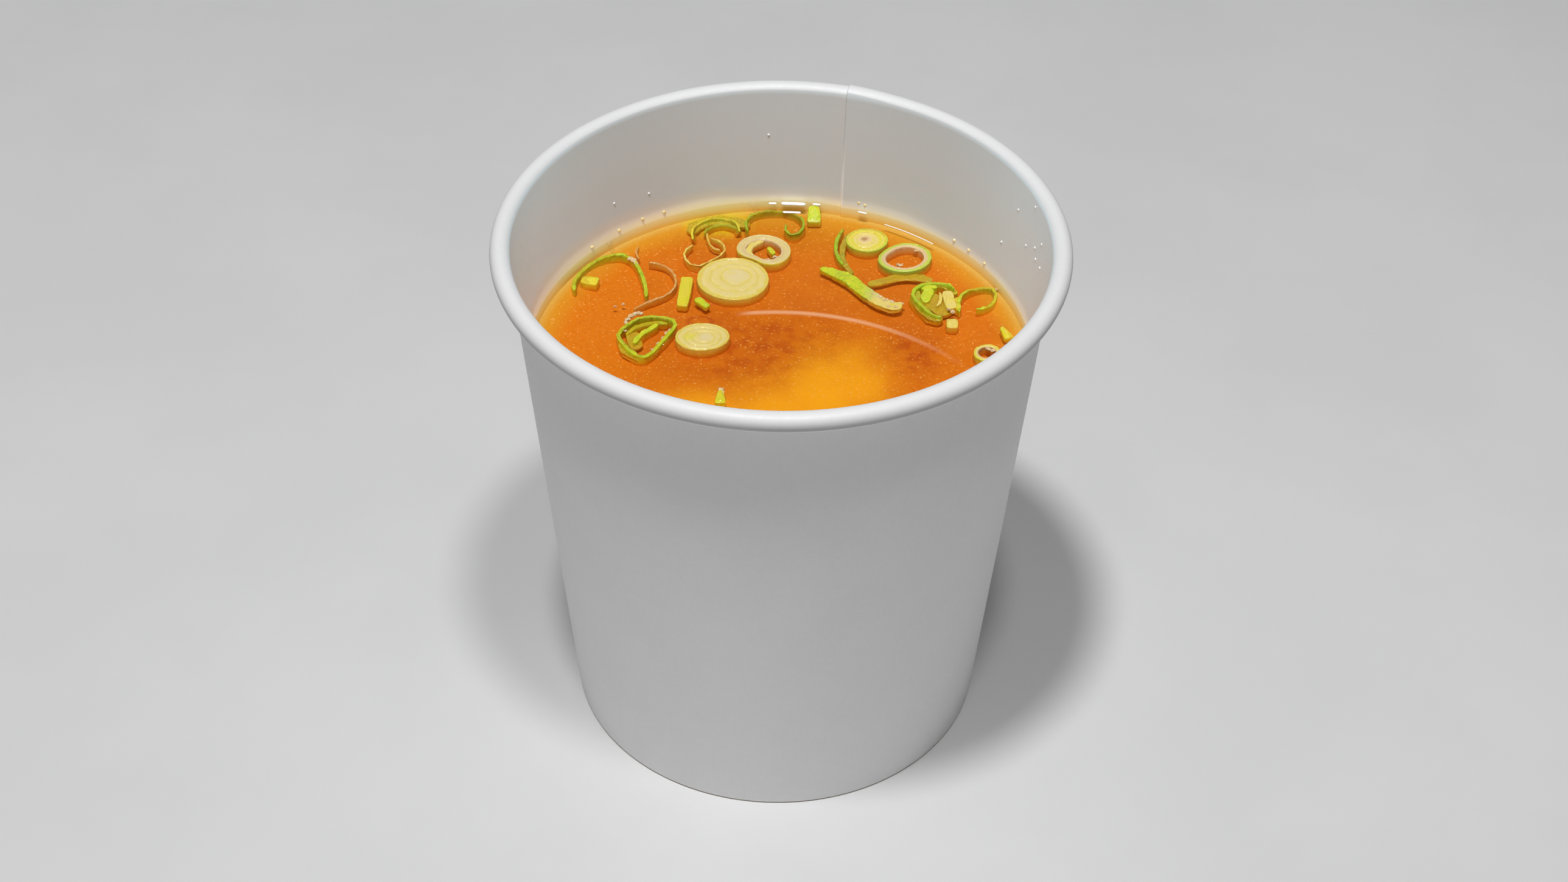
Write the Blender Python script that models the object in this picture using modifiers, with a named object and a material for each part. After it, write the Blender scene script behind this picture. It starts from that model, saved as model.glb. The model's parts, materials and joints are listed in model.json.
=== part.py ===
"""Miso soup in a rolled-rim paper cup, with cut spring onion floating on it.

The cup stands on its hem at z = 0 with its axis on +Z. It is looked at from -Y, over the near rim.
Sizes and places below are in millimetres, and every mesh is built in metres.
"""

import math

import bmesh
import bpy
from mathutils import Vector

MM = 0.001
GAP = 0.3
SHARP_EDGE = math.radians(40)
WET_ONION = 0.35
WET_SOUP = 0.08
DRY_PAPER = 0.5

# The cup
CUP_HEIGHT = 100.0
RIM_RADIUS = 49.0
HEM_RADIUS = 37.8
WALL_SLOPE = 0.0835
PAPER = 0.45
LEVEL_PAPER = PAPER / math.cos(math.atan(WALL_SLOPE))
ROLL_RADIUS = 1.72
ROLL_END = -120.0
ROLL_STEPS = 9
BASE_HEIGHT = 7.0
BASE_CORNER = 0.6
HEM_CORNER = 0.35
CUP_STEPS = 56

# The lap where the two edges of the sidewall paper are glued over each other
LAP_START = 14.5
LAP_WIDTH = 10.5
LAP_STEP = 0.25
LAP_EDGE = 0.25
LAP_FOOT = 9.0
LAP_FULL = 12.0

# The soup
SOUP_LEVEL = 74.4
MENISCUS_RISE = 1.8
MENISCUS_REACH = 2.2
MENISCUS_STEPS = (0.0, 0.7, 1.6, 2.9, 4.8, 8.0)
WELL_TOP = 82.0

# The spring onion
END_LENGTH = 0.22
WORN_EDGE = 0.25
CURVE_STEPS = 12

PAPER_WHITE = (0.86, 0.85, 0.83)
BROTH = (0.62, 0.16, 0.012)
PALE = (0.82, 0.70, 0.26)
PEACH = (0.78, 0.48, 0.16)
YELLOW = (0.66, 0.52, 0.05)
LIME = (0.45, 0.56, 0.03)
GREEN = (0.33, 0.40, 0.02)
OLIVE = (0.30, 0.26, 0.01)


def wall_radius(height):
    """Radius of the sidewall's outer face at a height."""
    return HEM_RADIUS + WALL_SLOPE * height


def middle_radius(height):
    """Radius half way through the sidewall's paper."""
    return wall_radius(height) - LEVEL_PAPER / 2


def soup_radius(height):
    """Radius of the soup's side, which keeps a gap to the paper."""
    return wall_radius(height) - LEVEL_PAPER - GAP


def clear_scene():
    for obj in list(bpy.data.objects):
        bpy.data.objects.remove(obj)


def new_collection(name):
    group = bpy.data.collections.new(name)
    bpy.context.scene.collection.children.link(group)
    return group


def add_object(name, mesh, group):
    obj = bpy.data.objects.new(name, mesh)
    group.objects.link(obj)
    return obj


def finish(obj, colour, roughness):
    """Give a piece its own material and smooth shading with sharp edges kept."""
    material = bpy.data.materials.new(obj.name)
    material.use_nodes = True
    shader = material.node_tree.nodes["Principled BSDF"]
    shader.inputs["Base Color"].default_value = (*colour, 1)
    shader.inputs["Roughness"].default_value = roughness
    shader.inputs["Metallic"].default_value = 0
    obj.data.materials.clear()
    obj.data.materials.append(material)
    obj.data.shade_smooth()
    obj.data.set_sharp_from_angle(angle=SHARP_EDGE)


def settle(obj):
    """Replace an object's mesh by the one that its modifiers make."""
    graph = bpy.context.evaluated_depsgraph_get()
    mesh = bpy.data.meshes.new_from_object(obj.evaluated_get(graph))
    obj.modifiers.clear()
    obj.data = mesh


def chain_mesh(name, points, closed=False):
    """A mesh of edges that join points given in millimetres as (radius, height)."""
    mesh = bpy.data.meshes.new(name)
    edges = [(i, i + 1) for i in range(len(points) - 1)]
    if closed:
        edges.append((len(points) - 1, 0))
    mesh.from_pydata([(r * MM, 0, z * MM) for r, z in points], edges, [])
    return mesh


def add_screw(obj, steps):
    screw = obj.modifiers.new("turn", "SCREW")
    screw.angle = math.tau
    screw.axis = "Z"
    screw.steps = steps
    screw.render_steps = steps
    screw.use_merge_vertices = True
    screw.merge_threshold = 0.00005


def add_solidify(obj, thickness, shares=None):
    """Give a sheet its thickness. shares thins it at each point, in the order of its points."""
    shell = obj.modifiers.new("sheet", "SOLIDIFY")
    shell.thickness = thickness * MM
    shell.offset = 0
    shell.use_even_offset = True
    if shares:
        group = obj.vertex_groups.new(name="thickness")
        for i, share in enumerate(shares):
            group.add([i], share, "REPLACE")
        shell.vertex_group = group.name


def arc(centre, radius, start, end, steps):
    """Points on an arc in the section plane, angles in degrees from outwards."""
    points = []
    for i in range(steps + 1):
        angle = math.radians(start + (end - start) * i / steps)
        points.append((centre[0] + radius * math.cos(angle), centre[1] + radius * math.sin(angle)))
    return points


ROLL_CENTRE = (RIM_RADIUS - ROLL_RADIUS, CUP_HEIGHT - ROLL_RADIUS)


def cup_wall_section():
    """Middle of the sidewall's paper, from the turned-in hem up to the end of the rolled rim."""
    hem_inset = 2 * (PAPER + GAP)
    foot = PAPER / 2
    bend = foot + HEM_CORNER
    hem_top = BASE_HEIGHT - BASE_CORNER
    fold = [
        (middle_radius(hem_top) - hem_inset, hem_top),
        (middle_radius(bend) - hem_inset, bend),
        (middle_radius(foot) - hem_inset + HEM_CORNER, foot),
        (middle_radius(foot) - HEM_CORNER, foot),
        (middle_radius(bend), bend),
    ]
    wall = [(middle_radius(z), z) for z in (LAP_FOOT, LAP_FULL)]
    lean = math.degrees(math.atan(WALL_SLOPE))
    roll = arc(ROLL_CENTRE, ROLL_RADIUS - PAPER / 2, 180 - lean, ROLL_END, ROLL_STEPS)
    return fold + wall + roll


def cup_base_section():
    """Middle of the base disc's paper, from its centre out and down the skirt."""
    inset = PAPER + GAP
    disc = BASE_HEIGHT + PAPER / 2
    bend = disc - BASE_CORNER
    skirt_foot = PAPER + 2 * GAP
    return [
        (0, disc),
        (middle_radius(disc) - inset - BASE_CORNER, disc),
        (middle_radius(bend) - inset, bend),
        (middle_radius(skirt_foot) - inset, skirt_foot),
    ]


def soup_section():
    """Outline of the soup from the middle of its surface, up the meniscus and down the wall."""
    flat = soup_radius(SOUP_LEVEL) - MENISCUS_STEPS[-1]
    top = [(0, SOUP_LEVEL), (flat, SOUP_LEVEL)]
    for step in reversed(MENISCUS_STEPS[:-1]):
        height = SOUP_LEVEL + MENISCUS_RISE * math.exp(-step / MENISCUS_REACH)
        top.append((soup_radius(height if step == 0 else SOUP_LEVEL) - step, height))
    bottom = BASE_HEIGHT + PAPER + GAP
    side = [(soup_radius(z), z) for z in (LAP_FULL, LAP_FOOT, bottom + BASE_CORNER)]
    return top + side + [(soup_radius(bottom) - BASE_CORNER, bottom), (0, bottom)]


def azimuth(point):
    """Degrees clockwise from +Y as seen from above."""
    return math.degrees(math.atan2(point.x, point.y))


def lap_share(point, from_start, early=0.0):
    """How much of the lap's step a point takes: all at one edge and none at the other."""
    across = (azimuth(point) + early - LAP_START) / LAP_WIDTH
    if not -0.001 <= across <= 1.001:
        return 0.0
    rise = min(max((point.z / MM - LAP_FOOT) / (LAP_FULL - LAP_FOOT), 0), 1)
    return rise * (1 - across if from_start else across)


def cut_lap_lines(bm, early=0.0):
    """Add the lines of points along both edges of the lap, some degrees early where a gap is kept."""
    for line in (LAP_START - LAP_EDGE, LAP_START, LAP_START + LAP_WIDTH, LAP_START + LAP_WIDTH + LAP_EDGE):
        angle = math.radians(line - early)
        near = [
            f for f in bm.faces
            if abs(azimuth(f.calc_center_median()) - LAP_START - LAP_WIDTH / 2) < 2 * LAP_WIDTH
        ]
        rim = {v for f in near for v in f.verts} | {e for f in near for e in f.edges}
        bmesh.ops.bisect_plane(
            bm, geom=near + list(rim), dist=1e-7,
            plane_co=(0, 0, 0), plane_no=(math.cos(angle), -math.sin(angle), 0),
        )


def faces_inward(radius, height):
    """True on the side of the paper that holds the soup and shows on top of the rolled rim."""
    if height > CUP_HEIGHT - 2 * ROLL_RADIUS - PAPER:
        reach = math.hypot(radius - ROLL_CENTRE[0], height - ROLL_CENTRE[1])
        return reach > ROLL_RADIUS - PAPER / 2
    return radius < middle_radius(height)


def raise_cup_lap(obj):
    """Thicken the sidewall by the second layer of paper where its edges overlap."""
    bm = bmesh.new()
    bm.from_mesh(obj.data)
    cut_lap_lines(bm)
    bm.normal_update()
    moves = []
    for vert in bm.verts:
        inner = faces_inward(math.hypot(vert.co.x, vert.co.y) / MM, vert.co.z / MM)
        share = lap_share(vert.co, inner)
        moves.append((vert, vert.normal * share * LAP_STEP * MM))
    for vert, move in moves:
        vert.co += move
    bm.to_mesh(obj.data)
    bm.free()


def clear_soup_lap(obj):
    """Draw the soup's side in where the sidewall's lap stands into it."""
    early = math.degrees(GAP / wall_radius(SOUP_LEVEL))
    bm = bmesh.new()
    bm.from_mesh(obj.data)
    cut_lap_lines(bm, early)
    for vert in bm.verts:
        reach = math.hypot(vert.co.x, vert.co.y)
        if reach / MM > wall_radius(vert.co.z / MM) - PAPER - 2 * GAP:
            move = lap_share(vert.co, True, early) * LAP_STEP * MM
            vert.co.x *= 1 - move / reach
            vert.co.y *= 1 - move / reach
    bm.to_mesh(obj.data)
    bm.free()


def build_cup(group):
    wall = add_object("cup_wall", chain_mesh("cup_wall", cup_wall_section()), group)
    add_screw(wall, CUP_STEPS)
    add_solidify(wall, PAPER)
    settle(wall)
    raise_cup_lap(wall)
    finish(wall, PAPER_WHITE, DRY_PAPER)
    base = add_object("cup_base", chain_mesh("cup_base", cup_base_section()), group)
    add_screw(base, CUP_STEPS)
    add_solidify(base, PAPER)
    finish(base, PAPER_WHITE, DRY_PAPER)


def build_soup(group, wells):
    soup = add_object("soup", chain_mesh("soup", soup_section()), group)
    add_screw(soup, CUP_STEPS)
    settle(soup)
    clear_soup_lap(soup)
    cut = soup.modifiers.new("wells", "BOOLEAN")
    cut.operation = "DIFFERENCE"
    cut.operand_type = "COLLECTION"
    cut.collection = wells
    finish(soup, BROTH, WET_SOUP)


def smooth_path(points, step, closed):
    """Points about a step apart on a smooth curve through the given ones."""
    count = len(points)
    knots = [Vector(p) for p in points]
    dense = []
    for i in range(count if closed else count - 1):
        if closed:
            a, b, c, d = (knots[(i + k) % count] for k in (-1, 0, 1, 2))
        else:
            a, b, c, d = (knots[min(max(i + k, 0), count - 1)] for k in (-1, 0, 1, 2))
        for k in range(CURVE_STEPS):
            t = k / CURVE_STEPS
            bend = (c - a) * t + (2 * a - 5 * b + 4 * c - d) * t ** 2 + (3 * b - a - 3 * c + d) * t ** 3
            dense.append(b + bend / 2)
    dense.append(knots[0] if closed else knots[-1])
    lengths = [(q - p).length for p, q in zip(dense, dense[1:])]
    pieces = max(4, round(sum(lengths) / step))
    spacing = sum(lengths) / pieces
    path = [dense[0]]
    walked = 0.0
    for p, q, length in zip(dense, dense[1:], lengths):
        while walked + length >= spacing * len(path) - 1e-9 and len(path) < pieces:
            path.append(p.lerp(q, (spacing * len(path) - walked) / length))
        walked += length
    return path if closed else path + [dense[-1]]


def loft(name, rows, closed):
    """An open sheet whose rows of points, in millimetres, are joined by faces."""
    count = len(rows[0])
    mesh = bpy.data.meshes.new(name)
    spans = count if closed else count - 1
    faces = []
    for level in range(len(rows) - 1):
        low, high = level * count, (level + 1) * count
        for i in range(spans):
            j = (i + 1) % count
            faces.append((low + i, low + j, high + j, high + i))
    mesh.from_pydata([Vector(p) * MM for row in rows for p in row], [], faces)
    return mesh


def wave(phase, turns, share):
    return math.sin(phase + math.tau * turns * share)


def end_shares(count, ends):
    """Share of the full thickness at each point of a strip that thins towards its ends."""
    shares = []
    for i in range(count):
        along = i / (count - 1)
        first = ends[0] + (1 - ends[0]) * along / END_LENGTH
        last = ends[1] + (1 - ends[1]) * (1 - along) / END_LENGTH
        shares.append(min(1, first, last))
    return shares


def add_band(groups, name, colour, points, wall, top, depth, closed=False, flare=0.0, lean=(0, 0),
             step=1.7, ripple=0.15, ends=(1, 1)):
    """A strip of leaf or onion layer standing on edge: top and depth are counted from the soup's level.

    flare widens the foot about the middle of the curve, lean moves the foot sideways, and ends are
    the shares of the thickness that are left at the two ends.
    """
    parts, wells = groups
    path = smooth_path(points, step, closed)
    middle = sum(path, Vector((0, 0))) / len(path)
    phase = 1.3 * points[0][0] + points[0][1]
    count = len(path)
    upper, lower = [], []
    for i, p in enumerate(path):
        foot = p + (p - middle) * flare + Vector(lean)
        lift = ripple * wave(phase, 3, i / count)
        upper.append((p.x, p.y, SOUP_LEVEL + top + lift))
        lower.append((foot.x, foot.y, SOUP_LEVEL - depth))
    obj = add_object(name, loft(name, [upper, lower], closed), parts)
    shares = end_shares(count, ends)
    add_solidify(obj, wall, shares * 2)
    finish(obj, colour, WET_ONION)

    if not closed:
        path = extend(path)
        upper = [(p.x, p.y, 0) for p in path]
        shift = [p + (p - middle) * flare + Vector(lean) for p in path]
        lower = [(p.x, p.y, 0) for p in shift]
    open_top = [(x, y, WELL_TOP) for x, y, _ in upper]
    rest = [(x, y, SOUP_LEVEL + top) for x, y, _ in upper]
    floor = [(x, y, SOUP_LEVEL - depth - GAP) for x, y, _ in lower]
    room = wall + 2 * GAP
    wide = [(wall * share + 2 * GAP) / room for share in shares]
    add_well(wells, name, loft(name + "_well", [open_top, rest, floor], closed), room, wide * 3)


def extend(path):
    """The path with each end drawn out by the gap that the soup keeps."""
    first = path[0] + (path[0] - path[1]).normalized() * GAP
    last = path[-1] + (path[-1] - path[-2]).normalized() * GAP
    return [first] + path[1:-1] + [last]


def add_well(wells, name, mesh, wall=None, shares=None):
    """A hidden cutter that opens the soup round a floating piece."""
    well = add_object(name + "_well", mesh, wells)
    well.hide_render = True
    well.display_type = "WIRE"
    if wall:
        add_solidify(well, wall, shares)
    return well


def place_turned(mesh, centre, radii, turn, slope, wobble, dent):
    """Stretch a unit piece to an uneven oval, tip it and put it in the cup.

    dent is (side, share): the side in degrees from the piece's own x, pressed in by that share.
    """
    turn = math.radians(turn)
    side = math.radians(dent[0])
    phase = 0.7 * centre[0] + 1.9 * centre[1]
    for vert in mesh.vertices:
        reach = math.hypot(vert.co.x, vert.co.y) / MM
        angle = math.atan2(vert.co.y, vert.co.x)
        swell = 1 + wobble * math.sin(2 * angle + phase) + 0.6 * wobble * math.sin(3 * angle + 2 * phase)
        swell -= dent[1] * max(math.cos(angle - side), 0) ** 4
        x = reach * swell * math.cos(angle) * radii[0]
        y = reach * swell * math.sin(angle) * radii[1]
        east = x * math.cos(turn) - y * math.sin(turn)
        north = x * math.sin(turn) + y * math.cos(turn)
        rise = slope[0] * east + slope[1] * north
        vert.co = Vector((centre[0] + east, centre[1] + north, SOUP_LEVEL + rise + vert.co.z / MM)) * MM


def add_turned(groups, name, colour, section, centre, radii, turn, slope=(0, 0), wobble=0.03, steps=20,
               dent=(0, 0)):
    """A slice or ring cut across the stem. Its section is (share of the radius, height over the soup)."""
    parts, wells = groups
    ring = section[0][0] > 0
    obj = add_object(name, chain_mesh(name, section, closed=ring), parts)
    add_screw(obj, steps)
    settle(obj)
    place_turned(obj.data, centre, radii, turn, slope, wobble, dent)
    finish(obj, colour, WET_ONION)

    grow = GAP / min(radii)
    heights = [z for _, z in section]
    foot = min(heights) - GAP
    outer = max(r for r, _ in section) + grow
    lid = WELL_TOP - SOUP_LEVEL
    if ring:
        inner = min(r for r, _ in section) - grow
        outline = [(inner, lid), (outer, lid), (outer, foot), (inner, foot)]
    else:
        outline = [(0, lid), (outer, lid), (outer, foot), (0, foot)]
    well = add_well(wells, name, chain_mesh(name + "_well", outline, closed=ring))
    add_screw(well, steps)
    settle(well)
    place_turned(well.data, centre, radii, turn, slope, wobble, dent)


def slice_section(top, depth):
    """Half the outline of a solid slice, with a groove between its outer layers."""
    return [
        (0, top), (0.36, top - 0.05), (0.43, top - 0.35), (0.50, top - 0.05),
        (0.72, top), (0.78, top - 0.3), (0.84, top - 0.02), (0.96, top - 0.1),
        (1.0, top - 0.45), (0.97, -depth), (0, -depth),
    ]


def ring_section(top, depth, hole):
    """Outline of a ring with a rounded cut face, from the hole's edge outwards and round."""
    half = (1 + hole) / 2
    return [
        (hole, top - 0.35), (hole + (1 - hole) * 0.2, top), (half, top - 0.2),
        (1 - (1 - hole) * 0.2, top), (1.0, top - 0.4), (0.97, -depth), (hole * 1.03, -depth),
    ]


def add_block(groups, name, colour, centre, size, turn, top, slope=(0, 0), taper=0.0):
    """A chopped bit of stem or leaf with worn edges. taper narrows its far end."""
    parts, wells = groups
    for grow, group in ((0, parts), (GAP, wells)):
        bm = bmesh.new()
        bmesh.ops.create_cube(bm, size=1)
        angle = math.radians(turn)
        high = WELL_TOP - SOUP_LEVEL if grow else top
        low = top - size[2] - grow
        for vert in bm.verts:
            narrow = 1 - taper * (vert.co.y + 0.5)
            x = vert.co.x * (size[0] * narrow + 2 * grow)
            y = vert.co.y * (size[1] + 2 * grow)
            east = x * math.cos(angle) - y * math.sin(angle)
            north = x * math.sin(angle) + y * math.cos(angle)
            level = high if vert.co.z > 0 else low
            rise = slope[0] * east + slope[1] * north
            vert.co = Vector((centre[0] + east, centre[1] + north, SOUP_LEVEL + level + rise)) * MM
        mesh = bpy.data.meshes.new(name)
        bm.to_mesh(mesh)
        bm.free()
        if group == wells:
            add_well(wells, name, mesh)
            continue
        obj = add_object(name, mesh, parts)
        edge = obj.modifiers.new("edge", "BEVEL")
        edge.width = WORN_EDGE * MM
        edge.segments = 1
        finish(obj, colour, WET_ONION)


def build_slices(groups):
    """Solid slices and thick rings cut across the white and pale green stem."""
    add_turned(groups, "onion_slice_large", PALE, slice_section(0.55, 2.5), (-8.7, 20.9), (6.6, 6.4), 0,
               slope=(0.0, 0.02), wobble=0.012, steps=24)
    add_turned(groups, "onion_slice_left", PALE, slice_section(0.5, 2.3), (-13.6, 3.8), (4.9, 3.9), 12,
               slope=(-0.02, 0.01), wobble=0.02, dent=(180, -0.05))
    add_turned(groups, "onion_slice_green", YELLOW, slice_section(0.45, 2.8), (15.7, 33.5), (4.05, 3.75), 0,
               wobble=0.01, dent=(-40, 0.04))
    add_turned(groups, "onion_ring_pale", PALE, ring_section(0.5, 2.6, 0.62), (-3.4, 29.7), (5.2, 5.0), 0,
               wobble=0.015, steps=24, dent=(-121, 0.34))
    add_turned(groups, "onion_ring_green", LIME, ring_section(0.6, 2.8, 0.68), (22.4, 28.1), (5.2, 4.6), 12,
               wobble=0.01, steps=22, dent=(128, 0.14))
    add_turned(groups, "onion_ring_front_right", YELLOW, ring_section(0.4, 2.2, 0.6), (36.1, 0.7), (2.5, 2.3), 40,
               wobble=0.05, steps=14)
    add_turned(groups, "onion_slice_front", PALE, slice_section(0.5, 2.4), (-17.5, -26.5), (5.2, 4.7), 30,
               slope=(0.02, 0.0), wobble=0.03)
    add_turned(groups, "onion_ring_front", LIME, ring_section(0.5, 2.5, 0.72), (9.0, -29.0), (4.6, 4.1), 60,
               wobble=0.04)


def build_right_cluster(groups):
    """The cut tube of leaf on the right, with the layers that stand inside it and its loose tail."""
    add_band(groups, "cluster_ring", GREEN, [
        (28.7, 10.4), (27.5, 10.8), (26.3, 11.6), (25.2, 13.3), (24.2, 15.2), (23.6, 17.2), (24.4, 19.0),
        (26.2, 20.1), (28.5, 20.5), (30.4, 19.9), (31.2, 18.6),
    ], wall=0.75, top=0.7, depth=2.8, lean=(-0.9, -0.5), ends=(0.7, 0.6))
    add_band(groups, "cluster_leaf", LIME, [(25.9, 14.7), (26.0, 16.6), (27.0, 18.9)],
             wall=1.9, top=0.55, depth=1.2, lean=(-0.2, -0.1), ends=(0.5, 0.9))
    add_band(groups, "cluster_core", PALE, [(28.5, 18.1), (28.7, 16.5), (28.5, 15.0), (27.8, 13.6)],
             wall=0.65, top=0.5, depth=1.8, step=1.3, lean=(-0.3, -0.2), ends=(0.6, 0.6))
    add_band(groups, "cluster_slab", PALE, [(30.2, 18.0), (30.3, 15.8), (30.0, 13.2)],
             wall=1.5, top=0.6, depth=1.4, lean=(-0.3, -0.2))
    add_band(groups, "cluster_tail", GREEN, [
        (31.8, 12.3), (31.8, 14.4), (32.0, 16.2), (32.9, 18.0), (34.4, 19.1), (36.5, 19.5), (38.2, 19.0),
        (38.6, 17.3), (38.0, 15.3), (36.7, 13.7), (34.8, 13.1),
    ], wall=0.65, top=0.4, depth=1.7, ends=(1, 0.8))
    add_block(groups, "onion_cube", PALE, (30.4, 9.0), (2.1, 2.7, 2.0), -3, 0.45)


def build_left_pieces(groups):
    """The long arc, the pale loop, the blocks and the torn ring on the left."""
    add_band(groups, "onion_arc_left", GREEN, [
        (-37.0, 16.4), (-37.3, 19.0), (-36.4, 21.7), (-35.0, 24.3), (-32.9, 26.3), (-30.0, 27.6),
        (-28.0, 27.2), (-26.6, 25.6), (-25.5, 22.5), (-24.7, 19.5), (-24.2, 17.0), (-24.1, 15.1),
    ], wall=0.75, top=0.6, depth=1.9)
    add_block(groups, "onion_block_left", YELLOW, (-34.5, 20.0), (3.2, 2.4, 2.0), -12, 0.5)
    add_band(groups, "onion_loop_pale", PEACH, [
        (-24.3, 25.8), (-22.6, 25.6), (-20.6, 24.5), (-19.3, 22.2), (-19.0, 19.3), (-19.9, 17.0), (-22.0, 15.1),
        (-24.3, 13.7), (-26.2, 11.8),
    ], wall=0.45, top=0.15, depth=1.3, ripple=0.05)
    add_block(groups, "onion_strip_left", YELLOW, (-17.3, 17.3), (2.2, 8.8, 1.6), -4, 0.3, taper=-0.12)
    add_block(groups, "leaf_bit_left", LIME, (-14.0, 13.9), (1.5, 3.4, 1.2), 42, 0.5)
    add_band(groups, "torn_ring", GREEN, [
        (-28.5, 4.0), (-27.7, 5.8), (-26.3, 7.5), (-24.4, 8.8), (-22.1, 9.3), (-19.8, 9.0), (-18.6, 7.9),
        (-18.6, 6.3), (-19.5, 4.4), (-20.5, 2.5), (-21.6, 0.5), (-22.8, -1.5), (-24.0, -2.4), (-25.2, -1.6),
        (-26.5, 0.1), (-27.7, 2.1),
    ], wall=0.75, top=0.6, depth=2.6, closed=True, lean=(-0.3, -0.3))
    add_band(groups, "torn_tongue", LIME, [(-25.6, 1.6), (-25.2, 3.0), (-24.2, 4.6), (-23.0, 6.0), (-21.6, 7.2)],
             wall=0.95, top=0.5, depth=1.6)


def build_back_pieces(groups):
    """Curls, loops and the upright leaf tip along the far side."""
    add_band(groups, "back_loop", YELLOW, [
        (-13.3, 33.7), (-11.9, 33.2), (-10.7, 31.6), (-10.4, 29.9), (-11.3, 28.3), (-12.9, 26.7),
        (-14.7, 25.1), (-16.3, 25.3), (-17.5, 27.0), (-17.9, 28.9), (-17.3, 30.4), (-16.2, 31.5),
    ], wall=0.45, top=0.25, depth=1.4, ripple=0.05)
    add_band(groups, "back_curl", YELLOW, [
        (-16.4, 33.0), (-16.7, 35.2), (-16.1, 37.5), (-14.2, 39.1), (-11.7, 39.8), (-9.4, 39.2), (-8.2, 37.6),
        (-7.9, 35.6),
    ], wall=0.6, top=0.4, depth=2.2, flare=-0.18)
    add_band(groups, "back_ring", GREEN, [
        (-6.3, 35.4), (-6.8, 37.5), (-6.5, 39.6), (-5.3, 41.0), (-3.3, 41.7), (-0.8, 41.9), (1.6, 41.5),
        (3.4, 40.1), (4.0, 38.0), (3.6, 35.9), (2.4, 34.6), (1.2, 34.9), (0.5, 36.3), (0.7, 37.8),
    ], wall=0.5, top=0.7, depth=1.5, ripple=0.1)
    add_block(groups, "leaf_tip_back", LIME, (5.9, 40.6), (2.8, 3.4, 1.5), 0, 1.2, slope=(0, 0.45), taper=0.25)
    add_band(groups, "onion_arc_right", OLIVE, [
        (11.4, 37.0), (10.3, 34.2), (9.9, 31.0), (10.2, 28.2), (11.2, 25.9),
    ], wall=0.75, top=0.5, depth=2.4, flare=0.03, ends=(0.5, 0.7))
    add_band(groups, "leaf_strip", LIME, [
        (6.9, 24.6), (8.9, 24.0), (10.8, 22.8), (12.5, 21.3), (14.0, 19.4), (15.3, 17.6), (16.9, 15.8),
        (18.6, 14.3), (20.6, 13.1),
    ], wall=2.7, top=0.4, depth=0.6, ends=(0.35, 0.75))


def build_front_pieces(groups):
    """Small bits on the right and at the front, most of them hidden behind the near rim."""
    add_block(groups, "leaf_bit_right", YELLOW, (39.7, 6.4), (2.0, 3.5, 1.4), 20, 0.6, taper=0.5)
    add_block(groups, "leaf_bit_front", YELLOW, (-10.0, -12.6), (2.2, 3.8, 1.4), 0, 0.7, taper=0.6)
    add_band(groups, "onion_arc_front", GREEN, [(20.5, -20.5), (24.3, -22.4), (26.0, -26.2), (24.0, -30.3)],
             wall=0.8, top=0.4, depth=2.0)
    add_band(groups, "leaf_strip_front", LIME, [(-5.6, -36.4), (-2.0, -37.0), (2.0, -38.6)],
             wall=1.8, top=0.4, depth=0.6)
    add_band(groups, "onion_loop_front", YELLOW, [(-33.0, -15.5), (-30.2, -13.6), (-28.4, -16.0), (-29.8, -19.0)],
             wall=0.6, top=0.35, depth=1.8)


def main():
    clear_scene()
    parts = new_collection("miso_soup")
    wells = new_collection("wells")
    build_cup(parts)
    for build in (build_slices, build_right_cluster, build_left_pieces, build_back_pieces, build_front_pieces):
        build((parts, wells))
    build_soup(parts, wells)


main()
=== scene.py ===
# %% [markdown]
# # A paper cup of miso soup
#
# This notebook dresses a plain construction model, the frame, as a cup of miso soup with spring onion.
# The frame holds every solid piece at its real size, in metres, standing on z = 0 with the cup's axis on +Z.
# Nothing here moves or resizes it. New, finer pieces take the places of its plain ones, and every
# surface gets a material that is made of nodes.

# %% Load the frame and keep its box
import json
import math

import bpy
from mathutils import Matrix, Vector, noise
from mathutils.bvhtree import BVHTree

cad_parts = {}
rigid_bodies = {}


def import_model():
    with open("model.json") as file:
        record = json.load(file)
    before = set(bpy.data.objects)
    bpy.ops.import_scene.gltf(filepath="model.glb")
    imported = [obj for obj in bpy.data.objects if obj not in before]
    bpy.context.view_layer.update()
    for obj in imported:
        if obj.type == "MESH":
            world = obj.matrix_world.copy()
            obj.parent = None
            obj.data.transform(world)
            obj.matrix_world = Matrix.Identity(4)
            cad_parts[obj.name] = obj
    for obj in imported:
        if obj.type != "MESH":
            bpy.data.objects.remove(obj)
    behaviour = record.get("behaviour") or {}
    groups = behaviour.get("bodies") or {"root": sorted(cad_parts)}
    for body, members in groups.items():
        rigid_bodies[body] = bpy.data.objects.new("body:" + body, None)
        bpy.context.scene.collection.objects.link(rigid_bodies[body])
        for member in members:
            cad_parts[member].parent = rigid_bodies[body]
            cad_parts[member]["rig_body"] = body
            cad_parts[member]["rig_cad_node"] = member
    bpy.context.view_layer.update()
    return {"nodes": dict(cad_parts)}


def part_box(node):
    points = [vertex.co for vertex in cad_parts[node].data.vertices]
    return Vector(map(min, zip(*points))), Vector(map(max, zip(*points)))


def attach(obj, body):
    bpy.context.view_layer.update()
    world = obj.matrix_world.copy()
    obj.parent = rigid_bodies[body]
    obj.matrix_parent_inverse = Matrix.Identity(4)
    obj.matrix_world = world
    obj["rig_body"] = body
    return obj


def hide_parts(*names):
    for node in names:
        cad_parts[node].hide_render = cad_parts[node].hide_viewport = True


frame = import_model()
nodes = frame["nodes"]

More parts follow.
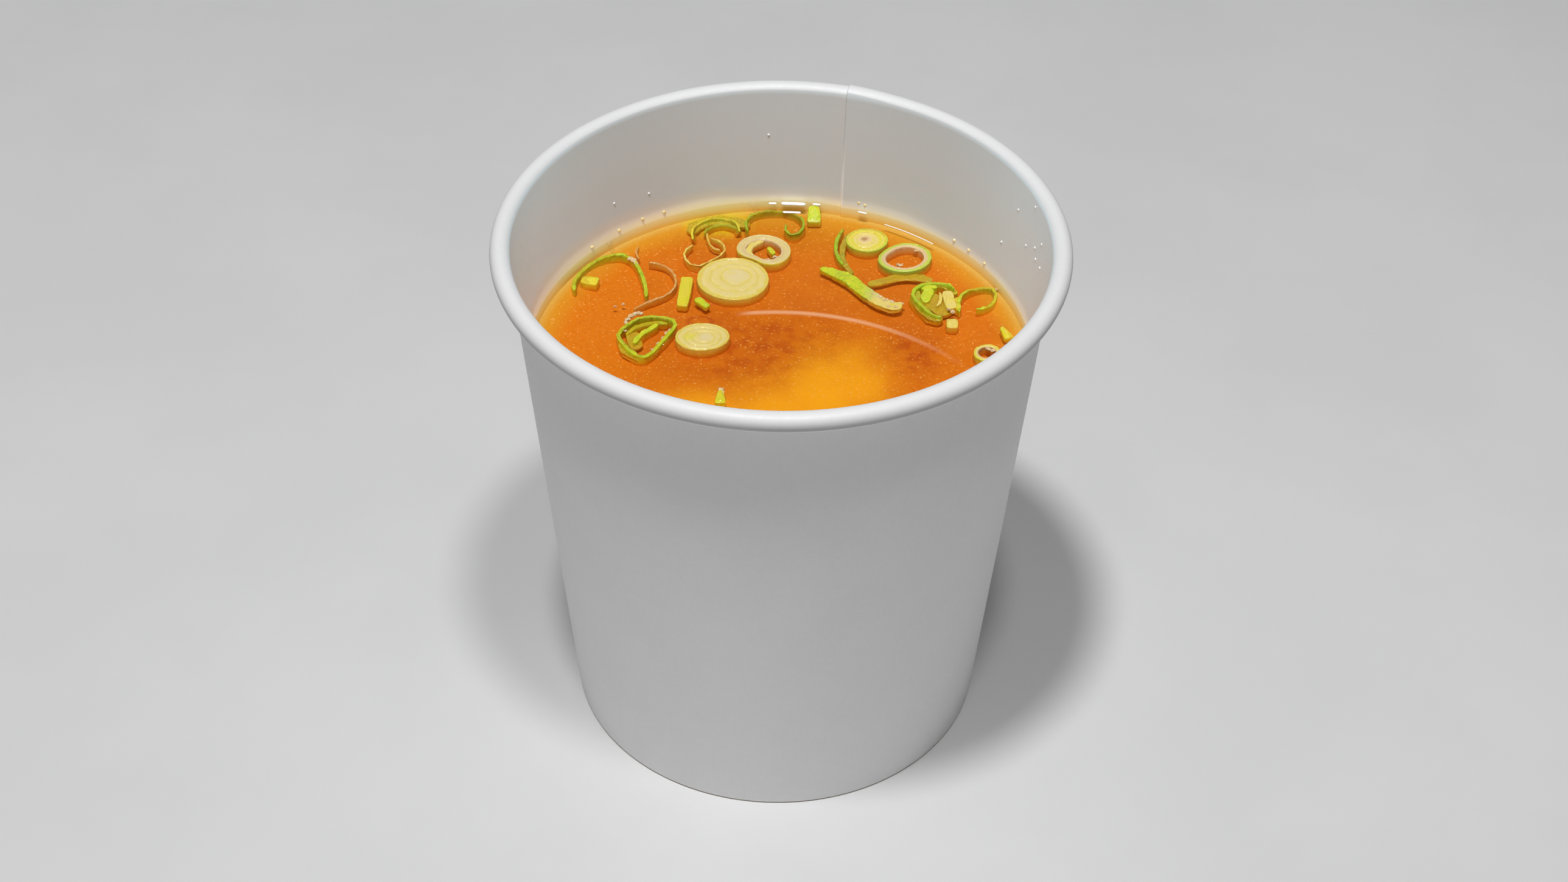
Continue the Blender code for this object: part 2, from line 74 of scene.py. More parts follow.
# %% [markdown]
# ## Sizes
#
# The real cup is turned from a few sizes: the foot, the slope of the side, the paper's thickness and the
# rolled rim. They are given in millimetres, and the soup's level is printed beside the frame's own, so that a
# slip shows at once.

# %% The cup's driving sizes, in millimetres
MM = 0.001
HEM_RADIUS = 37.8
WALL_SLOPE = 0.0835
PAPER = 0.45
CUP_HEIGHT = 100.0
RIM_RADIUS = 49.0
ROLL_RADIUS = 1.72
BASE_HEIGHT = 7.0
PAPER_GAP = 0.3
SOUP_LEVEL = 74.4
MENISCUS_RISE = 1.8
MENISCUS_REACH = 2.2
LAP_START = 14.5
LAP_WIDTH = 10.5
LAP_STEP = 0.25


def wall_radius(height):
    """Radius of the cup's outer face at a height, both in millimetres."""
    return HEM_RADIUS + WALL_SLOPE * height


soup_heights = [v.co.z / MM for v in nodes["soup"].data.vertices if v.co.xy.length < MM]
print(f"soup level {max(soup_heights):.2f} mm in the frame, {SOUP_LEVEL} mm here")

# %% [markdown]
# ## The camera
#
# The picture is taken over the near rim, from about 40 degrees above the horizon and half a metre away, with a
# short telephoto lens, which keeps the cup's sides nearly straight. The camera could be aimed with a tracking
# constraint, but a place, a tilt and a small roll say the same with nothing left to chance.

# %% Camera
CAMERA_PLACE = (0.949, -351.36, 352.28)
CAMERA_ELEVATION = 40.296
CAMERA_ROLL = 0.894
CAMERA_LENS = 58.93

bpy.ops.object.select_all(action="DESELECT")
bpy.ops.object.camera_add()
camera = bpy.context.object
camera.data.lens = CAMERA_LENS
camera.data.clip_start = 0.01
tilt = Matrix.Rotation(math.radians(90 - CAMERA_ELEVATION), 4, "X")
roll = Matrix.Rotation(math.radians(CAMERA_ROLL), 4, "Z")
camera.matrix_world = Matrix.Translation(Vector(CAMERA_PLACE) * MM) @ tilt @ roll
bpy.context.scene.camera = camera
print("camera at", [round(v, 3) for v in camera.location])

# %% [markdown]
# ## Shader maths in plain Python
#
# A material is a net of nodes, and a sum of three masks takes a dozen clicks. Here one small class wraps a
# node's output, so that `1 - mask * 0.5` adds its own Math nodes, and a second class holds the material and
# adds every other node through a single method. Colours never pass through Math nodes, which turn them grey.

# %% Shade
class Shade:
    """One output of a node, which takes part in sums as a number does."""

    def __init__(self, finish, socket):
        self.finish = finish
        self.socket = socket

    def __add__(self, other):
        return self.finish.maths("ADD", self, other)

    def __radd__(self, other):
        return self.finish.maths("ADD", other, self)

    def __sub__(self, other):
        return self.finish.maths("SUBTRACT", self, other)

    def __rsub__(self, other):
        return self.finish.maths("SUBTRACT", other, self)

    def __mul__(self, other):
        return self.finish.maths("MULTIPLY", self, other)

    def __rmul__(self, other):
        return self.finish.maths("MULTIPLY", other, self)

    def __pow__(self, other):
        return self.finish.maths("POWER", self, other)


print("reflected forms:", [name for name in vars(Shade) if name.startswith("__r")])

# %% [markdown]
# ### The material and its nodes
#
# One class holds the material. Its `node` method adds a node of any type, and the short methods below it are
# what this soup needs again and again: a soft step, a thin line, clouds of a size, and the place on the cup in
# millimetres. A procedural pattern that is measured in millimetres keeps its scale on every piece.

# %% Finish
class Finish:
    """A material, or the world, and the nodes that make it."""

    def __init__(self, name, owner=None):
        self.owner = owner or bpy.data.materials.new(name)
        self.owner.use_nodes = True
        self.tree = self.owner.node_tree
        self.surface = self.tree.nodes.get("Principled BSDF")

    def feed(self, socket, value):
        """Link a Shade to a socket, or set the socket to a number, a colour or a vector."""
        if isinstance(value, Shade):
            self.tree.links.new(value.socket, socket)
        elif socket.type == "RGBA" and len(value) == 3:
            socket.default_value = (*value, 1)
        else:
            socket.default_value = value

    def node(self, kind, settings=None, sockets=None, out=0):
        """Add a node of any type: its settings first, then its sockets, by name or number."""
        node = self.tree.nodes.new(kind)
        for key, value in (settings or {}).items():
            setattr(node, key, value)
        for key, value in (sockets or {}).items():
            self.feed(node.inputs[key], value)
        return Shade(self, node.outputs[out])

    def maths(self, operation, *values):
        return self.node("ShaderNodeMath", {"operation": operation}, dict(enumerate(values)))

    def mix(self, share, first, second):
        """Blend two colours. 6 and 7 are the colour sockets of a Mix node."""
        settings = {"data_type": "RGBA", "clamp_factor": True}
        return self.node("ShaderNodeMix", settings, {0: share, 6: first, 7: second}, out=2)

    def fade(self, value, low, high):
        """0 below low, 1 above high and a smooth step between. High may be the lower of the two."""
        sockets = {"Value": value, "From Min": low, "From Max": high}
        if low > high:
            sockets = {"Value": value, "From Min": high, "From Max": low}
        step = self.node("ShaderNodeMapRange", {"interpolation_type": "SMOOTHSTEP"}, sockets)
        return 1 - step if low > high else step

    def line(self, value, centre, width, core):
        """1 where a value is within core of a centre, 0 from width away, and smooth between them."""
        return self.fade(self.maths("ABSOLUTE", value - centre), width, core)

    def place(self, stretch=(1, 1, 1), centre=(0, 0, 0)):
        """Object coordinates in millimetres, from a centre, stretched along the axes."""
        spot = self.node("ShaderNodeTexCoord", out="Object")
        size = tuple(s / MM for s in stretch)
        shift = tuple(-c * s for c, s in zip(centre, stretch))
        return self.node("ShaderNodeMapping", sockets={"Vector": spot, "Scale": size, "Location": shift})

    def axes(self, centre=(0, 0, 0)):
        """The three Object coordinates, in millimetres, one by one."""
        split = self.node("ShaderNodeSeparateXYZ", sockets={0: self.place(centre=centre)})
        return [Shade(self, socket) for socket in split.socket.node.outputs]

    def noise(self, size, detail=2.0, stretch=(1, 1, 1), low=0.35, high=0.65):
        """Clouds of a size in millimetres, as a mask from 0 to 1."""
        sockets = {"Vector": self.place(stretch), "Scale": 1 / size, "Detail": detail, "Roughness": 0.55}
        return self.fade(self.node("ShaderNodeTexNoise", sockets=sockets), low, high)

    def attribute(self, name):
        """A number that is painted on the mesh's points."""
        return self.node("ShaderNodeAttribute", {"attribute_name": name}, out="Fac")

    def bump(self, height, distance, strength=1.0):
        """Low relief: a height from 0 to 1, and what a height of 1 is worth in millimetres."""
        sockets = {"Height": height, "Distance": distance * MM, "Strength": strength}
        self.feed(self.surface.inputs["Normal"], self.node("ShaderNodeBump", sockets=sockets))

    def set(self, **sockets):
        """Set or link the main shader's sockets, with _ for the spaces in their names."""
        for name, value in sockets.items():
            self.feed(self.surface.inputs[name.replace("_", " ")], value)


print("a Finish can", [name for name in vars(Finish) if not name.startswith("_")])

# %% [markdown]
# ### Colours
#
# The colours are written as they look on a screen, from 0 to 255, which is how one reads them off a picture.
# A shader mixes light instead, so each is turned into light values. What lies level in this cup gets a little
# more light than a white card would, and `seen` takes that off again.

# %% Tones
TOP_LIGHT = 1.08


def tone(red, green, blue):
    """A colour as screens count it, from 0 to 255, as the light values that a shader mixes."""
    return tuple(((c / 255 + 0.055) / 1.055) ** 2.4 for c in (red, green, blue))


def seen(red, green, blue):
    """The colour that comes out as this tone on a level face under this scene's lamps."""
    return tuple(c / TOP_LIGHT for c in tone(red, green, blue))


print("mid grey as light:", round(tone(128, 128, 128)[0], 3))

# %% [markdown]
# ## Modelling helpers
#
# The pieces are modelled as by hand: a primitive, extrusions, a spin, then modifiers. Every operator works on
# the whole selection, so each job starts from a cleared one. A line that is drawn point by point and spun
# round the axis makes the cup, the soup and the onion slices alike.

# %% Lines and spins
WELD = 0.002 * MM


def clear_selection():
    """Back to object mode with nothing selected."""
    if bpy.context.mode != "OBJECT":
        bpy.ops.object.mode_set(mode="OBJECT")
    bpy.ops.object.select_all(action="DESELECT")


def pick(obj):
    clear_selection()
    obj.select_set(True)
    bpy.context.view_layer.objects.active = obj


def start_point(name, place):
    """A new object of one point, which is left selected in edit mode: a small plane, merged."""
    clear_selection()
    bpy.ops.mesh.primitive_plane_add(size=MM, location=place)
    obj = bpy.context.object
    obj.name = name
    obj.data.name = name
    bpy.ops.object.transform_apply(location=True, rotation=True, scale=True)
    bpy.ops.object.mode_set(mode="EDIT")
    bpy.ops.mesh.select_all(action="SELECT")
    bpy.ops.mesh.merge(type="CENTER")
    return obj


def draw_line(name, points):
    """Draw a line of edges by extruding its last point again and again. Points are in millimetres."""
    obj = start_point(name, Vector(points[0]) * MM)
    for here, there in zip(points, points[1:]):
        step = (Vector(there) - Vector(here)) * MM
        bpy.ops.mesh.extrude_vertices_move(TRANSFORM_OT_translate={"value": step})
    return obj


def weld_shut():
    """Merge what the last step left doubled and turn all faces outwards."""
    bpy.ops.mesh.select_all(action="SELECT")
    bpy.ops.mesh.remove_doubles(threshold=WELD)
    bpy.ops.mesh.normals_make_consistent(inside=False)
    bpy.ops.object.mode_set(mode="OBJECT")


def spin_line(name, line, sides):
    """Turn a line of (radius, height) points, in millimetres, round the cup's axis."""
    obj = draw_line(name, [(radius, 0, height) for radius, height in line])
    bpy.ops.mesh.select_all(action="SELECT")
    bpy.ops.mesh.spin(steps=sides, angle=math.tau, center=(0, 0, 0), axis=(0, 0, 1))
    weld_shut()
    return obj


print("points closer than", round(WELD / MM, 4), "mm are welded")

# %% [markdown]
# ### Modifiers and the last touch
#
# Modifiers thicken, smooth and roughen a shape without touching its points, and are applied once they are
# right. Every finished piece then goes through `settle`: smooth shading up to an angle, its material, its body in
# the frame, and the frame's nodes that it stands for are hidden.

# %% Modifiers, paint and settle
def add_modifier(obj, kind, **settings):
    modifier = obj.modifiers.new(kind.lower(), kind)
    for name, value in settings.items():
        setattr(modifier, name, value)


def apply_modifiers(obj):
    pick(obj)
    for modifier in list(obj.modifiers):
        bpy.ops.object.modifier_apply(modifier=modifier.name)


def subdivide_surface(obj, levels):
    add_modifier(obj, "SUBSURF", levels=levels, render_levels=levels)


def roughen(obj, *layers):
    """Push the surface in and out by clouds. Each layer is their size and their strength, in millimetres."""
    for size, strength in layers:
        clouds = bpy.data.textures.new(f"clouds_{size}", "CLOUDS")
        clouds.noise_scale = size * MM
        add_modifier(obj, "DISPLACE", texture=clouds, strength=strength * MM, mid_level=0.5, direction="NORMAL")


def paint(obj, name, values):
    """Keep one number for each point of the mesh, for the material to read."""
    layer = obj.data.attributes.new(name, "FLOAT", "POINT")
    layer.data.foreach_set("value", values)


def settle(obj, finish, slot, *stands_for, angle=35):
    """Shade a finished piece, give it its material and tie it to the frame."""
    pick(obj)
    bpy.ops.object.shade_smooth_by_angle(angle=math.radians(angle))
    obj.data.materials.clear()
    obj.data.materials.append(finish.owner)
    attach(obj, "root")
    if stands_for:
        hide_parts(*stands_for)
    print(f"{obj.name}: {len(obj.data.polygons)} faces")
    return obj


def arc(centre, radius, start, end, steps):
    """Points on an arc in the section plane, with angles in degrees from outwards."""
    turns = [math.radians(start + (end - start) * i / steps) for i in range(steps + 1)]
    return [(centre[0] + radius * math.cos(a), centre[1] + radius * math.sin(a)) for a in turns]


print("a quarter turn in two steps:", [(round(x, 2), round(y, 2)) for x, y in arc((0, 0), 1, 0, 90, 2)])

# %% [markdown]
# ## Broth colours
#
# Miso soup is an orange-brown, cloudy liquid. It isn't one flat colour: it is lighter where the white
# paper shines through near the wall, something pale under the surface makes soft bright patches in front of
# the middle, and darker clouds of bean paste drift round them. One function makes this colour for the body and
# for the surface, and the sunk parts of the onion fade into its tones. The rim's mirror image is a faint arc on
# the liquid. It is painted, so that it lies in the right place whatever lamps are used.

# %% Colours and the cloudy broth
BROTH = tone(221, 120, 8)
BROTH_DARK = tone(186, 74, 2)
BROTH_LEFT = tone(224, 124, 6)
BROTH_BACK = tone(208, 132, 8)
BROTH_BRIGHT = tone(250, 175, 18)
BROTH_EDGE = tone(220, 158, 34)
BROTH_THIN = tone(222, 200, 112)
BROTH_GOLD = tone(240, 190, 30)
BROTH_LIME = tone(220, 206, 24)
RIM_MIRROR = tone(246, 188, 140)
SPECK = tone(250, 186, 92)

# Bright patches: centre, squeeze and size. Dark clouds have a strength as well. All lengths in millimetres.
PATCHES = (((11.0, -5.5, 0.0), 0.8, 14.0), ((3.0, -13.0, 0.0), 2.4, 19.0), ((-13.0, -15.0, 0.0), 3.2, 15.0))
CLOUDS = (((-2.0, 2.5, 0.0), 2.4, 25.0, 0.9), ((23.0, 2.0, 0.0), 0.7, 8.5, 1.0))
LIME_CENTRE = (-12.5, 40.0, 0.0)
RING_CENTRE = (-14.3, 10.6, 0.0)
RING_REACH = 2.1
MIRROR_CENTRE = (0.1, -28.5, 0.0)
MIRROR_REACH = 42.1
SINK_DEPTH = 1.5


def distance(finish, centre, squeeze=1.0):
    """Level distance from a point, in millimetres. squeeze makes the circles round it into ovals."""
    x, y, _ = finish.axes(centre)
    return (x * x + y * y * squeeze) ** 0.5


def broth_colour(finish, mirror=0.0):
    """The colour of the liquid at any place in the cup. mirror is how strongly the rim's mirror line shows."""
    x, y, _ = finish.axes()
    reach = distance(finish, (0, 0, 0))
    colour = finish.mix(finish.noise(9.0, detail=3.0) * 0.25, BROTH, BROTH_DARK)
    colour = finish.mix(finish.fade(x, -14.0, -34.0), colour, BROTH_LEFT)
    colour = finish.mix(finish.fade(y, 26.0, 40.0) * 0.8, colour, BROTH_BACK)
    mottle = finish.noise(2.6, detail=6.0, low=0.42, high=0.64)
    for centre, squeeze, size, strength in CLOUDS:
        near_cloud = finish.fade(distance(finish, centre, squeeze), size, size * 0.2)
        colour = finish.mix(near_cloud * (0.15 + mottle * 0.75) * strength, colour, BROTH_DARK)
    paste = finish.noise(0.8, detail=6.0, low=0.48, high=0.72)
    colour = finish.mix(paste * 0.25, colour, BROTH_DARK)
    wander = finish.noise(7.0, detail=1.0) * 2.5
    for centre, squeeze, size in PATCHES:
        patch = finish.fade(distance(finish, centre, squeeze) + wander, size + 2.0, 2.0)
        colour = finish.mix(patch * 0.75, colour, BROTH_BRIGHT)
    ring = finish.line(distance(finish, RING_CENTRE, 2.6), RING_REACH, 0.8, 0.1)
    colour = finish.mix(ring * 0.7, colour, BROTH_DARK)
    if mirror:
        line = finish.line(distance(finish, MIRROR_CENTRE), MIRROR_REACH, 0.85, 0.1)
        line = line * finish.fade(x, -8.5, -4.5) * finish.fade(x, 36.0, 10.0) * finish.fade(y, -4.0, 2.0)
        colour = finish.mix(line * mirror, colour, RIM_MIRROR)
    colour = finish.mix(finish.fade(reach, 37.5, 43.0) * 0.8, colour, BROTH_EDGE)
    at_back = finish.fade(y, -5.0, 32.0)
    colour = finish.mix(finish.fade(reach, 41.8, 44.3) * (0.3 + at_back * 0.5), colour, BROTH_THIN)
    lime = finish.fade(distance(finish, LIME_CENTRE, 2.2), 8.5, 3.0)
    colour = finish.mix(lime * (0.5 + mottle * 0.3), colour, BROTH_LIME)
    specks = finish.noise(0.45, detail=0.0, low=0.69, high=0.76)
    return finish.mix(specks * 0.5, colour, SPECK)


def sink(finish, colour):
    """Draw a colour towards the broth's with its depth under the surface, through gold."""
    _, _, z = finish.axes()
    shallow = finish.fade(z, SOUP_LEVEL + 0.35, SOUP_LEVEL - 0.8)
    deep = finish.fade(z, SOUP_LEVEL - 0.1, SOUP_LEVEL - SINK_DEPTH)
    colour = finish.mix(shallow * 0.55, colour, BROTH_GOLD)
    return finish.mix(deep, colour, BROTH)


def wet_flesh(finish, gloss, reach):
    """Light that goes a little way into the onion, under a thin clear coat. gloss is the coat's roughness."""
    finish.set(Coat_Weight=0.3, Coat_Roughness=gloss)
    finish.set(Subsurface_Weight=0.2, Subsurface_Scale=0.5 * MM, Subsurface_Radius=reach)


print(len(PATCHES), "bright patches and", len(CLOUDS), "dark clouds in the broth")

# %% [markdown]
# ## The paper cup
#
# A soup cup is one fan of coated paper that is rolled into a cone. Its edges lap over each other in a glued
# seam, its foot is turned in round the base disc and its top is rolled outwards into the rim. It is made the
# same way here: the line half way through the paper is spun round the axis, and Solidify gives it thickness.
# The seam is a low step that fades out round the cup, made by a Displace modifier that follows painted weights.

# %% The paper's middle line
CUP_SIDES = 192
ROLL_STEPS = 22
ROLL_END = -120.0
HEM_STEPS = 5
HEM_CORNER = 0.35
HEM_HEIGHT = 6.4
SIDE_HEIGHTS = (9.0, 12.0, 30.0, 50.0, 70.0, 85.0)
LEVEL_PAPER = PAPER / math.cos(math.atan(WALL_SLOPE))
ROLL_CENTRE = (RIM_RADIUS - ROLL_RADIUS, CUP_HEIGHT - ROLL_RADIUS)


def middle_radius(height):
    return wall_radius(height) - LEVEL_PAPER / 2


def cup_line():
    """The middle of the paper from the turned-in hem, up the side and round the rolled rim."""
    inset = 2 * (PAPER + PAPER_GAP)
    low = PAPER / 2 + HEM_CORNER
    inner_bend = arc((middle_radius(low) - inset + HEM_CORNER, low), HEM_CORNER, 180, 270, HEM_STEPS)
    outer_bend = arc((middle_radius(low) - HEM_CORNER, low), HEM_CORNER, 270, 360, HEM_STEPS)
    side = [(middle_radius(z), z) for z in SIDE_HEIGHTS]
    lean = math.degrees(math.atan(WALL_SLOPE))
    roll = arc(ROLL_CENTRE, ROLL_RADIUS - PAPER / 2, 180 - lean, ROLL_END, ROLL_STEPS)
    return [(middle_radius(HEM_HEIGHT) - inset, HEM_HEIGHT)] + inner_bend + outer_bend + side + roll


print(len(cup_line()), "points from the hem to the end of the roll")

# %% [markdown]
# ### The glued seam
#
# Where the paper's edges lap over each other the wall is twice as thick. Inside, the step is sharp on one side
# of the lap, and outside on the other. The wall is cut along those lines first, because a step needs points to
# stand on, and the weights then say how far each point is pushed along its normal.

# %% Cup wall
LAP_SHARP = 0.25
LAP_FOOT = 9.0
LAP_FADE = 3.0


def azimuth(point):
    """Degrees from +Y towards +X, as seen from above."""
    return math.degrees(math.atan2(point.x, point.y))


def cut_seam_lines(obj):
    """Cut the cup's far side along the seam's edges, so that the step has points to stand on."""
    pick(obj)
    for line in (LAP_START - LAP_SHARP, LAP_START, LAP_START + LAP_WIDTH, LAP_START + LAP_WIDTH + LAP_SHARP):
        bpy.ops.object.mode_set(mode="EDIT")
        bpy.ops.mesh.select_all(action="DESELECT")
        bpy.ops.object.mode_set(mode="OBJECT")
        for face in obj.data.polygons:
            face.select = abs(azimuth(face.center) - LAP_START - LAP_WIDTH / 2) < 2 * LAP_WIDTH
        bpy.ops.object.mode_set(mode="EDIT")
        turn = math.radians(line)
        bpy.ops.mesh.bisect(plane_co=(0, 0, 0), plane_no=(math.cos(turn), -math.sin(turn), 0), threshold=1e-7)
    bpy.ops.object.mode_set(mode="OBJECT")


def faces_soup(radius, height):
    """True on the paper's inner side, which is also the upper side of the rolled rim."""
    if height > CUP_HEIGHT - 2 * ROLL_RADIUS - PAPER:
        return math.hypot(radius - ROLL_CENTRE[0], height - ROLL_CENTRE[1]) > ROLL_RADIUS - PAPER / 2
    return radius < middle_radius(height)


def weigh_seam(obj):
    """Weights for the seam: the inner layer steps up at its start, the outer one at its end."""
    group = obj.vertex_groups.new(name="seam")
    for vert in obj.data.vertices:
        across = (azimuth(vert.co) - LAP_START) / LAP_WIDTH
        if -0.001 <= across <= 1.001:
            inner = faces_soup(vert.co.xy.length / MM, vert.co.z / MM)
            rise = min(max((vert.co.z / MM - LAP_FOOT) / LAP_FADE, 0), 1)
            share = rise * (1 - across if inner else across)
            group.add([vert.index], min(max(share, 0), 1), "REPLACE")
    return group.name


paper_cup = spin_line("paper_cup_wall", cup_line(), CUP_SIDES)
add_modifier(paper_cup, "SOLIDIFY", thickness=PAPER * MM, offset=0, use_even_offset=True)
apply_modifiers(paper_cup)
cut_seam_lines(paper_cup)
seam = weigh_seam(paper_cup)
add_modifier(paper_cup, "DISPLACE", strength=LAP_STEP * MM, mid_level=0, direction="NORMAL", vertex_group=seam)
apply_modifiers(paper_cup)

# %% [markdown]
# ### Paper
#
# Cup paper is white, and its lining inside is a little shiny. Close up it has fine fibres and a slight
# unevenness. The rolled rim has painted shade, most on its lower half, down to a painted light line at its lip.
# Under the soup's level the paper shows through the liquid, so it takes the broth's colour, and the soup has left
# a pale peach stain above the waterline. The wet band at the waterline has the thin soup's tint, painted lighter
# as painted light, and just above it the paper emits a faint painted glow that stands in for light coming through
# the wet paper. Each of these is a band by height. The lining is also painted a cool tint against the orange
# light that the soup throws on it, with painted shade on its far side.

# %% Paper colours and bands
PAPER_OUT = tone(243, 243, 243)
# Painted light: a cool tint on the lining against the orange light that the soup throws on it.
LINING_COOL_TINT = tone(228, 243, 249)
# Painted shade: the far side of the lining is darker.
LINING_FAR_SHADE = tone(204, 210, 211)
# The paper's grain, and the painted shade beside the seam.
PAPER_GRAIN_AND_SHADE = tone(212, 210, 207)
STAIN = tone(250, 238, 190)
PEACH_STAIN = tone(242, 222, 192)
WET_TINT_AND_LIGHT = tone(255, 232, 166)
SUNK_PAPER = tone(250, 196, 84)
ROLL_SHADE = tone(192, 192, 193)
WET_GLOW = (1.0, 0.95, 0.84)
GLOW_STRENGTH = 0.09
ROLL_FOOT = (96.2, 96.6)
LIP_HEIGHT = 97.25

# Where each band starts and where it is full, in millimetres above the soup's level.
HAZE_BAND = (6.0, 1.6)
TIDE_BAND = (3.4, 1.8)
WET_BAND = (2.6, 1.0)
SUNK_BAND = (1.5, -0.4)
GLOW_BAND = (3.8, 2.4)
GLOW_FOOT = (1.2, 1.9)


def by_level(finish, height, band):
    """A mask by height over the soup, from nothing at the band's first height to all at its second."""
    return finish.fade(height, SOUP_LEVEL + band[0], SOUP_LEVEL + band[1])


def seam_marks(finish, colour, inside, turn, before_seam):
    """A painted highlight on the lap's edge low on the wall, and a soft painted shade beside it near the rim."""
    _, _, z = finish.axes()
    # Painted shade beside the lap, near the rim.
    lap_shade = before_seam * finish.fade(turn, LAP_START - 5.0, LAP_START) * finish.fade(z, 80.0, 96.0)
    colour = finish.mix(lap_shade * inside * 0.35, colour, PAPER_GRAIN_AND_SHADE)
    # Painted highlight along the lap's edge.
    seam_highlight = finish.line(turn, LAP_START, 0.5, 0.1) * finish.fade(z, 92.0, 80.0)
    return finish.mix(seam_highlight * inside * 0.8, colour, PAPER_OUT)


def soup_marks(finish, colour, inside, turn, before_seam, drift):
    """The stains and the wet band that the soup leaves on the lining. They are stronger left of the seam.
    The wet band has the thin soup's tint, painted lighter as painted light on the upright paper.
    """
    _, _, z = finish.axes()
    haze = by_level(finish, z - drift, HAZE_BAND) * (0.25 + before_seam * 0.35)
    colour = finish.mix(haze * inside, colour, PEACH_STAIN)
    back_left = finish.fade(turn, -66.0, -40.0) * before_seam
    tide = by_level(finish, z - drift * 0.4, TIDE_BAND)
    colour = finish.mix(tide * inside * (0.25 + back_left * 0.45), colour, STAIN)
    # The wet band: the thin soup's tint on the paper, painted lighter as painted light.
    colour = finish.mix(by_level(finish, z, WET_BAND) * inside * 0.9, colour, WET_TINT_AND_LIGHT)
    return finish.mix(by_level(finish, z, SUNK_BAND) * inside, colour, SUNK_PAPER)


def roll_marks(finish, colour, outside):
    """Painted shade over the rolled rim, most on its lower half, and a painted light line at its lip."""
    _, _, z = finish.axes()
    lower_half = finish.fade(z, ROLL_CENTRE[1] + 1.3, ROLL_CENTRE[1] - 0.4)
    colour = finish.mix(finish.fade(z, *ROLL_FOOT) * outside * (0.15 + lower_half * 0.8), colour, ROLL_SHADE)
    # A painted light line along the lip.
    return finish.mix(finish.line(z, LIP_HEIGHT, 0.22, 0.08) * outside, colour, PAPER_OUT)


print("the stain starts", SOUP_LEVEL + HAZE_BAND[0], "mm above the foot")

# %% [markdown]
# ### The paper's material
#
# The masks are made once: which side of the paper a place is on, its azimuth, and whether that comes before the
# seam. Each layer of colour is then mixed over the last one, and the wall can take its material.

# %% Paper material
def paper_finish():
    finish = Finish("cup_paper")
    x, y, z = finish.axes()
    reach = distance(finish, (0, 0, 0))
    inside = finish.fade(reach - z * WALL_SLOPE - (HEM_RADIUS - LEVEL_PAPER / 2), 0.1, -0.1)
    turn = finish.maths("ARCTAN2", x, y) * (180 / math.pi)
    before_seam = finish.fade(turn, LAP_START + 0.2, LAP_START - 0.2)
    fibres = finish.noise(0.7, detail=5.0, stretch=(1, 1, 0.6))
    clouds = finish.noise(14.0, detail=2.0)
    drift = finish.noise(18.0, detail=1.0) * 1.2
    # The lining's painted cool tint, turning to painted shade towards its far side.
    lining_tint_and_shade = finish.mix(finish.fade(y, 8.0, 40.0), LINING_COOL_TINT, LINING_FAR_SHADE)
    colour = finish.mix(inside, PAPER_OUT, lining_tint_and_shade)
    colour = finish.mix(fibres * 0.05 + clouds * 0.05, colour, PAPER_GRAIN_AND_SHADE)
    colour = seam_marks(finish, colour, inside, turn, before_seam)
    colour = soup_marks(finish, colour, inside, turn, before_seam, drift)
    colour = roll_marks(finish, colour, 1 - inside)
    finish.set(Base_Color=colour, Roughness=0.46 - inside * 0.08 + fibres * 0.06, IOR=1.48)
    # A painted glow: the paper just above the waterline emits a faint light of its own.
    glow = by_level(finish, z - drift * 0.6, GLOW_BAND) * by_level(finish, z, GLOW_FOOT) * inside
    finish.set(Emission_Color=finish.mix(glow, (0, 0, 0), WET_GLOW), Emission_Strength=GLOW_STRENGTH)
    finish.bump(fibres * 0.7 + clouds * 0.3, 0.012, 0.6)
    return finish


paper = paper_finish()
print("cup paper:", len(paper.tree.nodes), "nodes")
settle(paper_cup, paper, "paper", "cup_wall", angle=30)
nodes["cup_base"].data.materials.clear()
nodes["cup_base"].data.materials.append(paper.owner)

# %% [markdown]
# ## Onion slices
#
# A slice across the white stem is a stack of thin sleeves, one in the other, with a paler heart. The cut
# face isn't flat: each sleeve stands a little proud of the groove beside it. The section is drawn as a line,
# spun round, and then fitted to the frame's own outline, which is measured with rays from all sides. Each
# point also keeps how far out it lies, so that the material can colour the sleeves.

# %% Measure a node and fit a turned piece to it
FAR = 0.03
RAYS = 72
HOLE_LIMIT = 0.88
FOOT_SHARE = 0.9


def survey(node):
    """A frame node's middle, its reach and its hole's reach in each direction, and the slant of its foot."""
    mesh = nodes[node].data
    tree = BVHTree.FromPolygons([v.co for v in mesh.vertices], [p.vertices for p in mesh.polygons])
    low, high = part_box(node)
    middle = (low + high) / 2
    outer, inner = [], []
    slant = Vector((0, 0, 0))
    for i in range(RAYS):
        turn = math.tau * i / RAYS
        way = Vector((math.cos(turn), math.sin(turn), 0))
        hit = tree.ray_cast(middle + way * FAR, -way)[0]
        reach = (hit - middle).length
        hole = tree.ray_cast(middle, way)[3]
        outer.append(reach)
        inner.append(hole if hole < HOLE_LIMIT * reach else 0.0)
        under = middle + way * reach * FOOT_SHARE - Vector((0, 0, FAR))
        foot = tree.ray_cast(under, Vector((0, 0, 1)))[0]
        if foot:
            slant += way * (foot.z - low.z) * 2 / RAYS / (reach * FOOT_SHARE)
    return middle, outer, inner, slant


def read_turn(values, angle):
    """The value in a direction, between the two nearest rays."""
    at = angle / math.tau % 1 * RAYS
    first = int(at) % RAYS
    share = at - int(at)
    return values[first] * (1 - share) + values[(first + 1) % RAYS] * share


